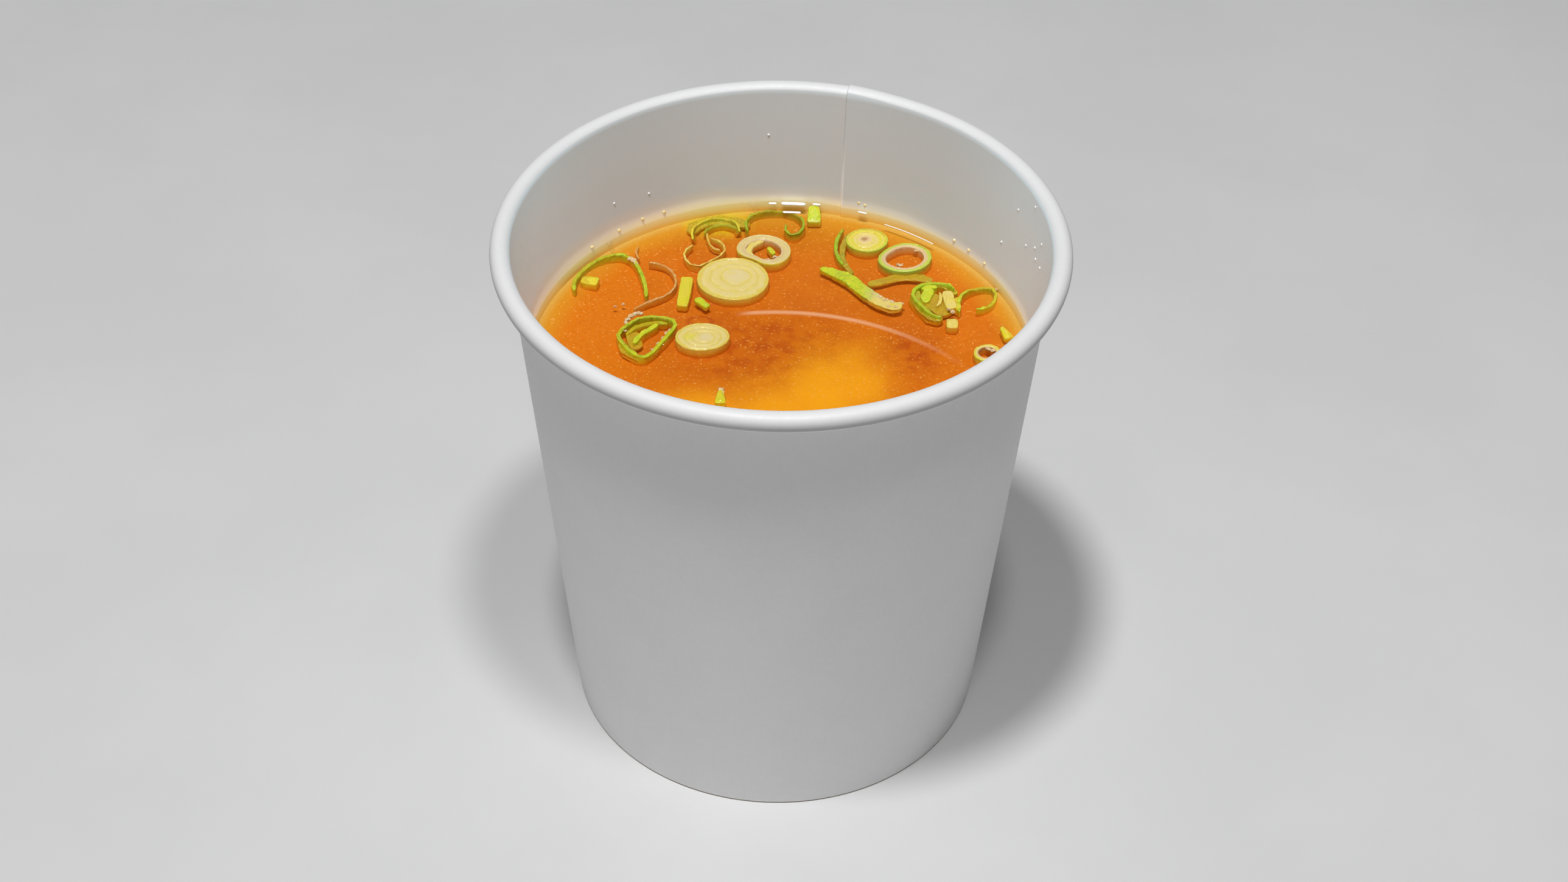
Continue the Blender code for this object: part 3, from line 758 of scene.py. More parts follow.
def fit_turned(obj, node, unit, shift=(0, 0)):
    """Move a piece that was spun at one unit of radius to a node's place and outline.

    Its radius counts from the hole's edge, 0, to the skin, 1. shift is where the heart lies off the middle.
    """
    middle, outer, inner, slant = survey(node)
    shares = []
    for vert in obj.data.vertices:
        angle = math.atan2(vert.co.y, vert.co.x)
        share = vert.co.xy.length / (unit * MM)
        far, near = read_turn(outer, angle), read_turn(inner, angle)
        layer = 2 * share - 1 if near else share
        reach = near + (far - near) * layer
        way = Vector((math.cos(angle), math.sin(angle), 0))
        place = middle + way * reach + Vector((*shift, 0)) * MM * max(1 - share, 0)
        rise = slant.dot(place - middle)
        shares.append(layer)
        vert.co = Vector((place.x, place.y, vert.co.z + rise))
    paint(obj, "layer", shares)


print("measured:", [round(v / MM, 2) for v in survey("onion_slice_large")[0]])

# %% [markdown]
# ### Sections
#
# A section is a line from the middle of the cut face, over the skin and under the piece, with the radius as a
# share of the whole. A ring's section is a closed loop that starts at the hole. The domes between the grooves
# are low, because a sharp knife cuts the sleeves nearly level.

# %% Sections of a slice and a ring
SLICE_GROOVES = (0.40, 0.66, 0.90)
RING_GROOVES = (0.30, 0.78)
GROOVE = 0.16
DOME = ((0.10, 0.04), (0.35, -0.02), (0.70, -0.02), (0.90, 0.05))
STEM_SIDES = 96
STEM_ROUGHNESS = ((1.1, 0.16), (0.35, 0.07))


def cut_face(top, start, end, grooves):
    """The cut face from start outwards to end: low domes with a narrow groove between them."""
    line = []
    edges = [start, *grooves, end]
    for near, far in zip(edges, edges[1:]):
        width = far - near
        line += [(near + width * share, top - drop) for share, drop in DOME]
        if far != end:
            line.append((far, top - GROOVE))
    return line


def slice_line(top, depth):
    """A solid slice from the middle of its cut face, over the skin and under to the middle again."""
    face = [(0, top - 0.10)] + cut_face(top, 0.0, 1.0, SLICE_GROOVES)
    side = [(0.992, top - 0.22), (1.0, top - 0.6), (1.0, -depth + 0.6), (0.97, -depth + 0.12)]
    return face + side + [(0.9, -depth), (0.5, -depth), (0, -depth)]


def ring_line(top, depth):
    """A ring's section as a closed line. Half the unit radius is the hole's edge."""
    def out(share):
        return 0.5 + 0.5 * share

    face = [(out(s), z) for s, z in cut_face(top, 0.0, 1.0, RING_GROOVES)]
    skin = [(out(1.0), top - 0.5), (out(1.0), -depth + 0.5), (out(0.94), -depth)]
    hole = [(out(0.08), -depth), (out(0.0), -depth + 0.5), (out(0.0), top - 0.4)]
    return face + skin + hole + [face[0]]


def turned_piece(node, line, shift=(0, 0)):
    """Spin a section and fit it to its frame node. One unit of the section is the node's own half width."""
    low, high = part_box(node)
    unit = (high.x - low.x) / 2 / MM
    level = [(radius * unit, SOUP_LEVEL + height) for radius, height in line]
    obj = spin_line(f"{node}_cut", level, STEM_SIDES)
    fit_turned(obj, node, unit, shift)
    subdivide_surface(obj, 1)
    roughen(obj, *STEM_ROUGHNESS)
    apply_modifiers(obj)
    return obj


print("a slice is spun from", len(slice_line(0.5, 2.5)), "points, a ring from", len(ring_line(0.5, 2.5)))

# %% [markdown]
# ### Stem colours
#
# The cut stem goes from a creamy heart through pale yellow sleeves to a yellow-green skin. The colours follow
# the distance that was painted on the points, shaken a little by noise so that no ring is perfect. Thin,
# slightly greener lines run between the sleeves, and the side, which dips into the soup, fades into orange.

# %% Stem material
CREAM = seen(236, 216, 156)
PALE = seen(238, 216, 128)
STRAW = seen(232, 208, 66)
YELLOW = seen(232, 220, 42)
LIME = seen(194, 218, 40)
GREEN = seen(150, 186, 26)
OLIVE = seen(150, 146, 18)
DEEP_GREEN = seen(98, 138, 16)
PEACH = seen(224, 160, 66)
BLUSH = seen(228, 198, 148)
RING_FLESH = seen(226, 206, 136)
WHITISH = seen(230, 212, 168)
# The broth seen in the slice's hole, darkened by painted shade.
HOLE_SHADE = seen(170, 112, 34)


def stem_finish(name, heart, flesh, band, skin, grooves, lines, blotch=STRAW, hollow=0.0, spot=None,
                bands=(0.62, 0.84)):
    """heart, flesh, band and skin are the colours from the middle outwards, and the band starts in bands."""
    finish = Finish(name)
    layer = finish.attribute("layer") + (finish.noise(1.6, detail=3.0) - 0.5) * 0.07
    colour = finish.mix(finish.fade(layer, 0.16, 0.42), heart, flesh)
    colour = finish.mix(finish.noise(3.0, low=0.5, high=0.75) * 0.5, colour, blotch)
    colour = finish.mix(finish.fade(layer, *bands), colour, band)
    colour = finish.mix(finish.fade(layer, 0.88, 0.97), colour, skin)
    for groove in grooves:
        colour = finish.mix(finish.line(layer, groove, 0.045, 0.008) * lines, colour, blotch)
        colour = finish.mix(finish.line(layer, groove - 0.07, 0.05, 0.01) * lines * 0.6, colour, CREAM)
    if hollow:
        # A painted hole at the heart: the broth's colour in painted shade.
        colour = finish.mix(finish.fade(layer, hollow, hollow * 0.4) * 0.8, colour, HOLE_SHADE)
    if spot:
        colour = finish.mix(finish.fade(distance(finish, spot, 1.6), 1.9, 0.5) * 0.7, colour, YELLOW)
    fibres = finish.noise(0.22, detail=2.0)
    colour = finish.mix(fibres * 0.3, colour, heart)
    colour = sink(finish, colour)
    finish.set(Base_Color=colour, Roughness=0.36 + fibres * 0.12, IOR=1.4)
    wet_flesh(finish, 0.12, (1.0, 0.8, 0.4))
    finish.bump(fibres, 0.02)
    return finish


slice_pale = stem_finish("stem_pale", CREAM, PALE, PALE, STRAW, SLICE_GROOVES, 0.6)
slice_spotted = stem_finish("stem_spotted", CREAM, PALE, PALE, STRAW, SLICE_GROOVES, 0.5, spot=(-16.0, 3.6, 0.0))
slice_lime = stem_finish("stem_lime", BLUSH, PALE, YELLOW, LIME, SLICE_GROOVES, 0.5, YELLOW, hollow=0.2,
                         bands=(0.45, 0.7))
ring_pale = stem_finish("ring_pale", BLUSH, RING_FLESH, CREAM, YELLOW, RING_GROOVES, 0.3, PALE)
ring_lime = stem_finish("ring_lime", BLUSH, BLUSH, LIME, GREEN, RING_GROOVES, 0.3, CREAM, bands=(0.4, 0.6))
print("a pale slice:", len(slice_pale.tree.nodes), "nodes")

# %% [markdown]
# ### The slices and rings of this cup
#
# Each row gives a frame node, how far its cut face stands over the soup, how deep it goes, its material and its
# slot. Slices also say how far their heart lies off the middle, as no stem grows quite even.

# %% Slices and rings
for node, top, depth, finish, slot, shift in (
    ("onion_slice_large", 0.55, 2.5, slice_pale, "onion_pale", (0.9, 1.0)),
    ("onion_slice_left", 0.5, 2.3, slice_spotted, "onion_pale", (0.5, -0.2)),
    ("onion_slice_front", 0.5, 2.4, slice_pale, "onion_pale", (-0.4, 0.3)),
    ("onion_slice_green", 0.45, 2.8, slice_lime, "onion_yellow", (-0.5, 0.2)),
):
    settle(turned_piece(node, slice_line(top, depth), shift), finish, slot, node)
for node, top, depth, finish, slot in (
    ("onion_ring_pale", 0.5, 2.6, ring_pale, "onion_pale"),
    ("onion_ring_green", 0.6, 2.8, ring_lime, "onion_green"),
    ("onion_ring_front", 0.5, 2.5, ring_lime, "onion_green"),
    ("onion_ring_front_right", 0.4, 2.2, slice_lime, "onion_yellow"),
):
    settle(turned_piece(node, ring_line(top, depth)), finish, slot, node)

# %% [markdown]
# ## Leaf bands, strips and bits
#
# The green part of the stem is hollow, so a cut across it gives thin bands that stand on edge, curl and tear.
# Their frame solids already run along the right curves, so a copy of each is welded, its triangles are joined
# to four-sided faces, its edges are rounded by Bevel and the whole smoothed by Subdivision Surface. The cut
# edge is then made a little ragged. Each point keeps which side of the leaf it is on and how near the cut.

# %% Refine a copy of a frame node
BAND_EDGE = 0.13
RAGGED = 0.16
RAGGED_DEPTH = 1.2
LEAF_LEVELS = 2
LEAF_ROUGHNESS = ((1.3, 0.26), (0.5, 0.08))


def copy_node(node):
    """A free, welded copy of a frame node, with its triangles joined to four-sided faces."""
    clear_selection()
    obj = nodes[node].copy()
    obj.data = nodes[node].data.copy()
    obj.name = f"{node}_soft"
    obj.parent = None
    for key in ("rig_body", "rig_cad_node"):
        del obj[key]
    bpy.context.scene.collection.objects.link(obj)
    pick(obj)
    bpy.ops.mesh.customdata_custom_splitnormals_clear()
    bpy.ops.object.mode_set(mode="EDIT")
    bpy.ops.mesh.select_all(action="SELECT")
    bpy.ops.mesh.remove_doubles(threshold=WELD)
    bpy.ops.mesh.tris_convert_to_quads()
    bpy.ops.object.mode_set(mode="OBJECT")
    return obj


def span(obj):
    """The lowest and the highest corner of a mesh."""
    columns = list(zip(*(v.co for v in obj.data.vertices)))
    return Vector([min(c) for c in columns]), Vector([max(c) for c in columns])


def leaf_sides(obj):
    """Paint on each point the side of the leaf that it is on and how close it is to the cut edge."""
    low, high = span(obj)
    middle = (low + high) / 2
    outer, rim = [], []
    for vert in obj.data.vertices:
        way = (vert.co - middle).xy
        facing = vert.normal.xy.dot(way.normalized()) if way.length > 0 else 0
        outer.append(facing)
        rim.append(min(max(vert.normal.z, 0), 1) if vert.co.z > middle.z else 0)
    paint(obj, "outer", outer)
    paint(obj, "rim", rim)


def ragged_edge(obj, amount):
    """Lift and drop the points near the cut edge by noise."""
    _, high = span(obj)
    for vert in obj.data.vertices:
        near = 1 - min((high.z - vert.co.z) / (RAGGED_DEPTH * MM), 1)
        wave = noise.noise(vert.co / (0.9 * MM)) + 0.5 * noise.noise(vert.co / (0.35 * MM))
        vert.co.z += near * wave * amount * MM


def mark_rims(obj):
    """Give the level edges a bevel weight, so that the upright ones are left to round off."""
    weights = obj.data.attributes.new("bevel_weight_edge", "FLOAT", "EDGE")
    for edge, weight in zip(obj.data.edges, weights.data):
        first, second = (obj.data.vertices[i].co for i in edge.vertices)
        along = second - first
        weight.value = 1.0 if abs(along.z) < 0.5 * along.length else 0.0


def soften(obj):
    """Round the long edges a little, smooth the rest and make the cut uneven."""
    mark_rims(obj)
    add_modifier(obj, "BEVEL", width=BAND_EDGE * MM, segments=2, limit_method="WEIGHT")
    subdivide_surface(obj, LEAF_LEVELS)
    roughen(obj, *LEAF_ROUGHNESS)
    apply_modifiers(obj)
    ragged_edge(obj, RAGGED)
    leaf_sides(obj)
    return obj


print("edges are rounded by", BAND_EDGE, "mm and ragged by", RAGGED, "mm")

# %% [markdown]
# ### Leaf colours
#
# A leaf is green on its skin, lighter inside and pale on the cut edge. Fine ribs run up the band, as the
# leaf's fibres run along the stem. The wet surface has a thin, clear gloss over a softer one. The long strip
# also loses its green towards the torn end, and the thin membranes under the surface are a muddy olive.

# %% Leaf material
def leaf_finish(name, skin, flesh, edge, shade, ribs=0.3, blotchy=0.45, cut=0.7, pale_from=None):
    """skin is the outer side, flesh the inner side, edge the cut and shade what mottles them.

    pale_from is where along +X, in millimetres, the leaf starts to lose its green.
    """
    finish = Finish(name)
    outer = finish.fade(finish.attribute("outer"), -0.25, 0.25)
    rim = finish.fade(finish.attribute("rim"), 0.7, 0.95)
    rib = finish.noise(0.45, detail=2.0, stretch=(1, 1, 0.12))
    cloud = finish.noise(2.6, detail=3.0, low=0.4, high=0.7)
    colour = finish.mix(outer, flesh, skin)
    colour = finish.mix(cloud * blotchy, colour, shade)
    colour = finish.mix(rib * ribs, colour, edge)
    worn = finish.noise(1.4, detail=3.0, low=0.3, high=0.6)
    colour = finish.mix(rim * worn * cut, colour, edge)
    if pale_from:
        x, _, _ = finish.axes()
        colour = finish.mix(finish.fade(x, pale_from, pale_from + 5.0) * (0.5 + worn * 0.5), colour, WHITISH)
    colour = sink(finish, colour)
    finish.set(Base_Color=colour, Roughness=0.32 + rib * 0.12, IOR=1.4)
    wet_flesh(finish, 0.1, (0.8, 1.0, 0.2))
    finish.bump(rib, 0.03)
    return finish


band_green = leaf_finish("band_green", GREEN, GREEN, YELLOW, LIME, cut=0.35)
band_olive = leaf_finish("band_olive", LIME, OLIVE, YELLOW, GREEN, cut=0.4)
band_dark = leaf_finish("band_dark", GREEN, OLIVE, LIME, DEEP_GREEN, cut=0.4)
band_back = leaf_finish("band_back", GREEN, OLIVE, GREEN, YELLOW, cut=0.4)
band_yellow = leaf_finish("band_yellow", YELLOW, OLIVE, STRAW, GREEN, cut=0.5)
band_straw = leaf_finish("band_straw", STRAW, STRAW, PALE, BROTH_GOLD, blotchy=0.4)
band_peach = leaf_finish("band_peach", PEACH, PEACH, BLUSH, BROTH_EDGE, blotchy=0.5)
flat_lime = leaf_finish("flat_lime", LIME, LIME, YELLOW, GREEN, ribs=0.6, blotchy=0.3, cut=0.3)
long_strip = leaf_finish("long_strip", GREEN, LIME, YELLOW, LIME, ribs=0.6, blotchy=0.5, cut=0.3, pale_from=14.0)
membrane = leaf_finish("membrane", OLIVE, OLIVE, STRAW, GREEN, ribs=0.5, blotchy=0.5, cut=0.2)
flat_yellow = leaf_finish("flat_yellow", YELLOW, STRAW, STRAW, LIME, blotchy=0.3, cut=0.0)
flat_pale = leaf_finish("flat_pale", STRAW, PALE, PALE, STRAW, blotchy=0.4, cut=0.5)
print("a green band:", len(band_green.tree.nodes), "nodes")

# %% [markdown]
# ### The bands and bits of this cup
#
# One table says which frame nodes get which finish. A loop over it makes them all the same way, so a change to
# the recipe reaches every leaf.

# %% Bands and bits
LEAVES = {
    band_green: ("onion_green", ("cluster_ring", "onion_arc_left", "onion_arc_front")),
    band_olive: ("onion_green", ("torn_ring", "cluster_tail")),
    band_dark: ("onion_green", ("onion_arc_right",)),
    band_back: ("onion_green", ("back_ring",)),
    flat_lime: ("onion_green", ("cluster_leaf", "leaf_bit_left", "torn_tongue", "leaf_tip_back",
                                "leaf_strip_front")),
    long_strip: ("onion_green", ("leaf_strip",)),
    band_yellow: ("onion_yellow", ("back_curl", "onion_loop_front")),
    band_straw: ("onion_yellow", ("back_loop",)),
    flat_yellow: ("onion_yellow", ("onion_block_left", "onion_strip_left", "leaf_bit_right", "leaf_bit_front")),
    flat_pale: ("onion_pale", ("cluster_core", "cluster_slab", "onion_cube")),
    band_peach: ("onion_pale", ("onion_loop_pale",)),
}
for finish, (slot, names) in LEAVES.items():
    for node in names:
        settle(soften(copy_node(node)), finish, slot, node)

# %% [markdown]
# ### Shreds under the surface
#
# Thin shreds lie just under the surface, lean on the pieces above them, or thicken the walls of the cluster and
# the torn ring. Each one is drawn as a line of points, extruded downwards to a band and thickened, then softened
# like the others.

# %% Ribbon
def ribbon(name, points, thickness, top, depth):
    """A band that stands on edge along level points, from top above the level to depth below it."""
    obj = draw_line(name, [(x, y, SOUP_LEVEL + top) for x, y in points])
    bpy.ops.mesh.select_all(action="SELECT")
    bpy.ops.mesh.extrude_region_move(TRANSFORM_OT_translate={"value": (0, 0, -(top + depth) * MM)})
    weld_shut()
    add_modifier(obj, "SOLIDIFY", thickness=thickness * MM, offset=0)
    apply_modifiers(obj)
    return soften(obj)


print("a shred is smoothed", LEAF_LEVELS, "times, like the leaves")

# %% [markdown]
# ### The shreds of this cup
#
# The table has one row for each shred. Those that reach above the level lift the liquid round them, so they are
# kept in a list for the surface.

# %% Shreds
# Name, level points, thickness, top above the level, depth below it, finish and slot. Lengths in millimetres.
SHREDS = (
    ("shred_under_ring", [(15.5, 20.6), (18.3, 21.8), (21.7, 23.4), (25.6, 23.0), (27.4, 22.0)], 1.9, -0.2, 0.7,
     membrane, "onion_yellow"),
    ("shred_back_haze", [(-17.0, 35.6), (-16.2, 38.0), (-13.9, 39.6), (-11.4, 40.1), (-8.6, 39.6), (-6.0, 38.2)],
     2.6, -0.1, 0.8, membrane, "onion_yellow"),
    ("shred_strip_end", [(15.6, 16.6), (17.6, 15.0), (19.6, 13.7), (21.8, 13.6)], 2.6, 0.5, 0.4, flat_pale,
     "onion_pale"),
    ("shred_back_line", [(-14.4, 35.0), (-14.0, 36.5), (-12.5, 37.7), (-11.0, 38.2), (-9.0, 37.6), (-7.5, 36.0)],
     0.5, 0.15, 1.4, band_back, "onion_green"),
    ("shred_faint_left", [(-26.3, 31.5), (-26.8, 29.4), (-26.0, 27.0)], 0.4, 0.0, 0.9, band_peach, "onion_pale"),
    ("shred_faint_back", [(-13.9, 35.5), (-13.7, 33.5), (-13.2, 31.8), (-12.4, 30.6), (-11.2, 30.2)],
     0.45, 0.1, 1.0, band_straw, "onion_yellow"),
    ("shred_ring_hole", [(-2.6, 31.2), (-1.8, 30.2), (-1.5, 28.9)], 1.1, 0.2, 1.0, flat_lime, "onion_green"),
    ("shred_cluster_back", [(26.6, 20.3), (28.6, 20.6), (30.6, 19.6), (31.6, 17.8)], 1.3, 0.1, 1.2, band_olive,
     "onion_green"),
    ("shred_cluster_wall", [(24.2, 19.0), (24.2, 16.4), (25.0, 13.6), (26.6, 11.2), (28.8, 10.2)], 2.0, 0.12, 1.0,
     membrane, "onion_green"),
    ("shred_cluster_floor", [(25.6, 18.0), (27.2, 16.0), (28.8, 14.0), (30.4, 12.6)], 4.2, -0.12, 0.9,
     membrane, "onion_green"),
    ("shred_ring_lining", [(-3.2, 33.1), (-5.4, 31.9), (-6.2, 29.7), (-5.3, 27.5), (-3.4, 26.5)], 1.2, 0.4, 1.2,
     flat_pale, "onion_pale"),
    ("shred_torn_floor", [(-26.2, 6.2), (-25.6, 3.4), (-25.0, 0.8)], 2.6, -0.25, 0.8, membrane, "onion_green"),
    ("shred_cluster_fold", [(25.2, 18.6), (26.6, 19.4), (28.2, 19.2)], 1.2, 0.6, 0.8, flat_lime, "onion_green"),
    ("shred_slab_face", [(29.7, 18.4), (30.0, 16.4), (30.3, 14.2), (30.5, 12.9)], 2.1, 0.55, 0.9, flat_pale,
     "onion_pale"),
    ("shred_arc_wall", [(13.6, 36.9), (11.9, 34.6), (11.1, 31.6), (11.0, 28.4), (11.8, 25.6), (13.0, 23.4)], 1.1,
     0.1, 1.0, membrane, "onion_green"),
    ("shred_torn_front", [(-28.2, 2.2), (-27.0, -0.2), (-24.8, -1.9), (-22.8, -1.0), (-21.2, 1.0)], 1.2, -0.12,
     1.0, membrane, "onion_green"),
    ("shred_slab_side", [(31.6, 12.8), (31.5, 14.8), (31.6, 16.8)], 1.3, 0.3, 1.1, flat_yellow, "onion_yellow"),
    ("shred_torn_back", [(-27.2, 4.6), (-25.4, 7.0), (-22.4, 8.2), (-19.8, 7.9)], 0.9, 0.1, 1.3, band_olive,
     "onion_green"),
    ("shred_torn_right", [(-19.0, 6.0), (-20.0, 3.6), (-21.4, 1.0)], 1.0, 0.15, 1.2, band_straw, "onion_yellow"),
)
floating_shreds = []
for name, points, thickness, top, depth, finish, slot in SHREDS:
    shred = settle(ribbon(name, points, thickness, top, depth), finish, slot)
    if top > 0:
        floating_shreds.append(shred)
print(len(floating_shreds), "shreds reach the surface")

# %% [markdown]
# ### Foam, crumbs and drops
#
# Small lumps of foam cling to torn edges, beads of soup sit on the paper where it has run, and white streaks at
# the far wall are painted highlights of the lamps on the meniscus. All are low balls, stretched and joined, and
# the foam is also made uneven.

# %% Lumps and their finishes
def lumps(name, spots):
    """One object of stretched balls: each spot is a place and its half sizes, in millimetres."""
    balls = []
    for place, sizes in spots:
        clear_selection()
        bpy.ops.mesh.primitive_ico_sphere_add(subdivisions=3, radius=1, location=Vector(place) * MM)
        ball = bpy.context.object
        ball.scale = Vector(sizes) * MM
        bpy.ops.object.transform_apply(location=True, rotation=True, scale=True)
        balls.append(ball)
    clear_selection()
    for ball in balls:
        ball.select_set(True)
    bpy.context.view_layer.objects.active = balls[0]
    bpy.ops.object.join()
    balls[0].name = name
    balls[0].data.name = name
    return balls[0]


def plain_finish(name, light, dark, roughness, coat=0.0):
    finish = Finish(name)
    colour = finish.mix(finish.noise(0.5, detail=3.0), light, dark)
    finish.set(Base_Color=colour, Roughness=roughness, IOR=1.35, Coat_Weight=coat, Coat_Roughness=0.05)
    return finish


def on_wall(turn, height, gap=0.0):
    """A place on the cup's inner face, from its azimuth in degrees and its height in millimetres."""
    radius = wall_radius(height) - LEVEL_PAPER - gap
    return radius * math.sin(math.radians(turn)), radius * math.cos(math.radians(turn)), height


foam = plain_finish("foam", seen(236, 214, 178), seen(220, 180, 118), 0.5)
drop = plain_finish("drop", tone(246, 246, 244), tone(232, 232, 230), 0.12, 0.6)
amber_drop = plain_finish("amber_drop", tone(244, 228, 176), tone(236, 206, 130), 0.12, 0.6)
# White for the painted highlights on the meniscus.
film = plain_finish("film", tone(255, 255, 255), tone(240, 248, 250), 0.2, 1.0)
print("half way up the wall, to the right:", [round(v, 1) for v in on_wall(90, CUP_HEIGHT / 2)])

# %% [markdown]
# ### Foam
#
# Foam gathers where a torn edge breaks the surface. Two layers of clouds, one coarse and one fine, make the
# balls ragged, so that they read as froth and crumbs.

# %% Foam crumbs
FOAM_ROUGHNESS = ((0.5, 0.6), (0.22, 0.4))

# Places of the lumps, level x and y and height, and their half sizes, in millimetres.
FOAM_SPOTS = (
    ((-27.6, 26.5, 74.8), (0.55, 0.5, 0.28)), ((-27.0, 25.9, 74.8), (0.5, 0.6, 0.25)),
    ((-26.4, 25.1, 74.7), (0.35, 0.55, 0.22)), ((-25.0, 10.3, 74.8), (0.55, 0.45, 0.3)),
    ((-25.8, 10.0, 74.9), (0.5, 0.4, 0.32)), ((-26.6, 9.4, 74.8), (0.45, 0.4, 0.28)),
    ((-27.0, 8.5, 74.8), (0.45, 0.45, 0.28)), ((-27.3, 7.6, 74.8), (0.35, 0.4, 0.22)),
    ((-27.3, 5.2, 74.8), (0.3, 0.25, 0.2)), ((-29.5, 12.7, 74.3), (0.35, 0.25, 0.18)),
    ((-28.0, 13.5, 74.3), (0.4, 0.22, 0.18)), ((-20.0, 4.6, 74.7), (0.3, 0.6, 0.2)),
    ((-20.6, 3.2, 74.7), (0.3, 0.55, 0.22)), ((-21.3, 1.7, 74.7), (0.32, 0.55, 0.22)),
    ((-19.4, 5.6, 74.7), (0.3, 0.4, 0.18)), ((-22.2, 0.1, 74.6), (0.3, 0.4, 0.2)),
    ((16.6, 16.9, 74.8), (0.5, 0.3, 0.22)), ((17.7, 16.0, 74.9), (0.45, 0.35, 0.25)),
    ((18.7, 15.2, 74.9), (0.5, 0.35, 0.25)), ((19.8, 14.6, 74.9), (0.45, 0.4, 0.28)),
    ((19.2, 13.4, 74.8), (0.4, 0.35, 0.22)), ((20.6, 13.2, 74.8), (0.4, 0.3, 0.22)),
    ((21.5, 14.4, 74.7), (0.5, 0.3, 0.2)), ((29.9, 12.7, 74.9), (0.32, 0.32, 0.25)),
    ((30.7, 12.1, 74.8), (0.38, 0.28, 0.2)), ((-10.0, -10.9, 74.9), (0.42, 0.36, 0.28)),
    ((-9.6, -11.5, 74.8), (0.35, 0.35, 0.2)), ((38.9, 19.3, 74.6), (0.3, 0.3, 0.22)),
    ((-1.2, 27.9, 74.7), (0.5, 0.28, 0.2)), ((-2.4, 27.3, 74.6), (0.4, 0.28, 0.18)),
    ((36.4, 1.7, 74.8), (0.5, 0.3, 0.2)), ((37.2, 1.2, 74.8), (0.4, 0.3, 0.2)),
    ((24.6, 30.6, 74.7), (0.5, 0.28, 0.2)), ((21.6, 26.0, 74.7), (0.5, 0.25, 0.2)),
)
foam_heap = lumps("foam_crumbs", FOAM_SPOTS)
roughen(foam_heap, *FOAM_ROUGHNESS)
apply_modifiers(foam_heap)
settle(foam_heap, foam, "onion_pale", angle=60)

# %% [markdown]
# ### On the wall
#
# Drops that splashed on the dry wall stay as small beads of clear soup. A row of them hangs just above the
# waterline. At the far side, short white streaks by the wall are painted highlights of the lamps on the meniscus.

# %% Drops, beads and painted highlights
DROP_SIZE = (0.24, 0.24, 0.24)
BEAD_SIZE = (0.34, 0.34, 0.3)
GLINT_STEP = 0.5

# Azimuth in degrees and height in millimetres of each.
WALL_DROPS = ((-3.5, 90.1), (-43.7, 83.2), (-33.7, 82.2), (72.6, 88.7), (77.6, 90.9), (81.3, 93.7), (79.2, 89.4),
              (83.2, 89.8), (73.9, 97.4), (62.0, 84.0), (66.5, 93.0))
drops = lumps("wall_drops", [(on_wall(turn, height), DROP_SIZE) for turn, height in WALL_DROPS])
settle(drops, drop, "broth", angle=60)
BEADS = ((-36.0, 77.4), (-43.0, 77.2), (-30.0, 77.3), (-52.0, 77.0), (18.9, 77.6), (20.5, 77.4), (51.0, 77.2),
         (46.0, 77.3), (57.0, 77.0))
beads = lumps("wall_beads", [(on_wall(turn, height), BEAD_SIZE) for turn, height in BEADS])
settle(beads, amber_drop, "broth", angle=60)


def glint_arc(start, end, height, gap, width):
    """Places and sizes along an arc by the wall that make one thin streak of painted highlight."""
    count = max(int(abs(end - start) / GLINT_STEP), 1)
    turns = [start + (end - start) * i / count for i in range(count + 1)]
    return [(on_wall(turn, height, gap), (width * 1.3, width, width * 0.5)) for turn in turns]


# Painted highlights: white streaks where the lamps shine on the meniscus at the far wall.
GLINTS = glint_arc(0.4, 5.0, 76.2, 0.9, 0.46) + glint_arc(0.6, 4.2, 75.2, 2.2, 0.32)
GLINTS += glint_arc(-3.0, -2.0, 76.2, 0.9, 0.3) + glint_arc(8.0, 9.0, 76.4, 0.9, 0.3)
GLINTS += glint_arc(27.0, 41.0, 75.5, 1.6, 0.14) + glint_arc(19.5, 21.0, 76.2, 0.8, 0.24)
glints = lumps("film_glints", GLINTS)
settle(glints, film, "broth", angle=60)

# %% [markdown]
# ## The soup
#
# Cloudy soup lets light in for a few millimetres. That is built as two pieces: an opaque body that starts a
# little under the surface, and a clear, glossy layer on top of it, through which the onion's sunk sides show.
# Both reach just into the paper, so that no gap shows at the wall. The top layer climbs the wall in a
# meniscus, and it climbs every floating piece as well, which gives the thin bright lines round them.

# %% Soup body
INTO_PAPER = 0.2
BODY_SIDES = 128
BODY_DEPTH = 1.4
BODY_RISE = 1.2
CLIMB_START = 36.0
CLIMB_REACH = 8.0
BODY_FLOOR = BASE_HEIGHT + PAPER + 0.1
BODY_FOOT = 7.6
BODY_CORNER = 0.6
BODY_SIDE = (8.2, 12.0, 40.0)
BODY_EDGE = 43.6
BODY_RINGS = (0, 6, 12, 18, 24, 29, 33, 35, 37, 39, 41, 42.5)


def inner_radius(height):
    return wall_radius(height) - LEVEL_PAPER + INTO_PAPER


def body_height(radius, below=0.0):
    """Height of the cloudy body's top. It rises towards the wall, like the meniscus over it."""
    climb = max(radius - CLIMB_START, 0) / CLIMB_REACH
    return SOUP_LEVEL - BODY_DEPTH + BODY_RISE * climb ** 2 - below


edge_height = body_height(BODY_EDGE)
body_line = [(0, BODY_FLOOR), (inner_radius(BODY_FOOT) - BODY_CORNER, BODY_FLOOR)]
body_line += [(inner_radius(z), z) for z in (*BODY_SIDE, edge_height)]
body_line += [(r, body_height(r)) for r in reversed(BODY_RINGS)]
soup_body = spin_line("soup_body", body_line, BODY_SIDES)
print("the cloudy body starts", BODY_DEPTH, "mm under the surface")

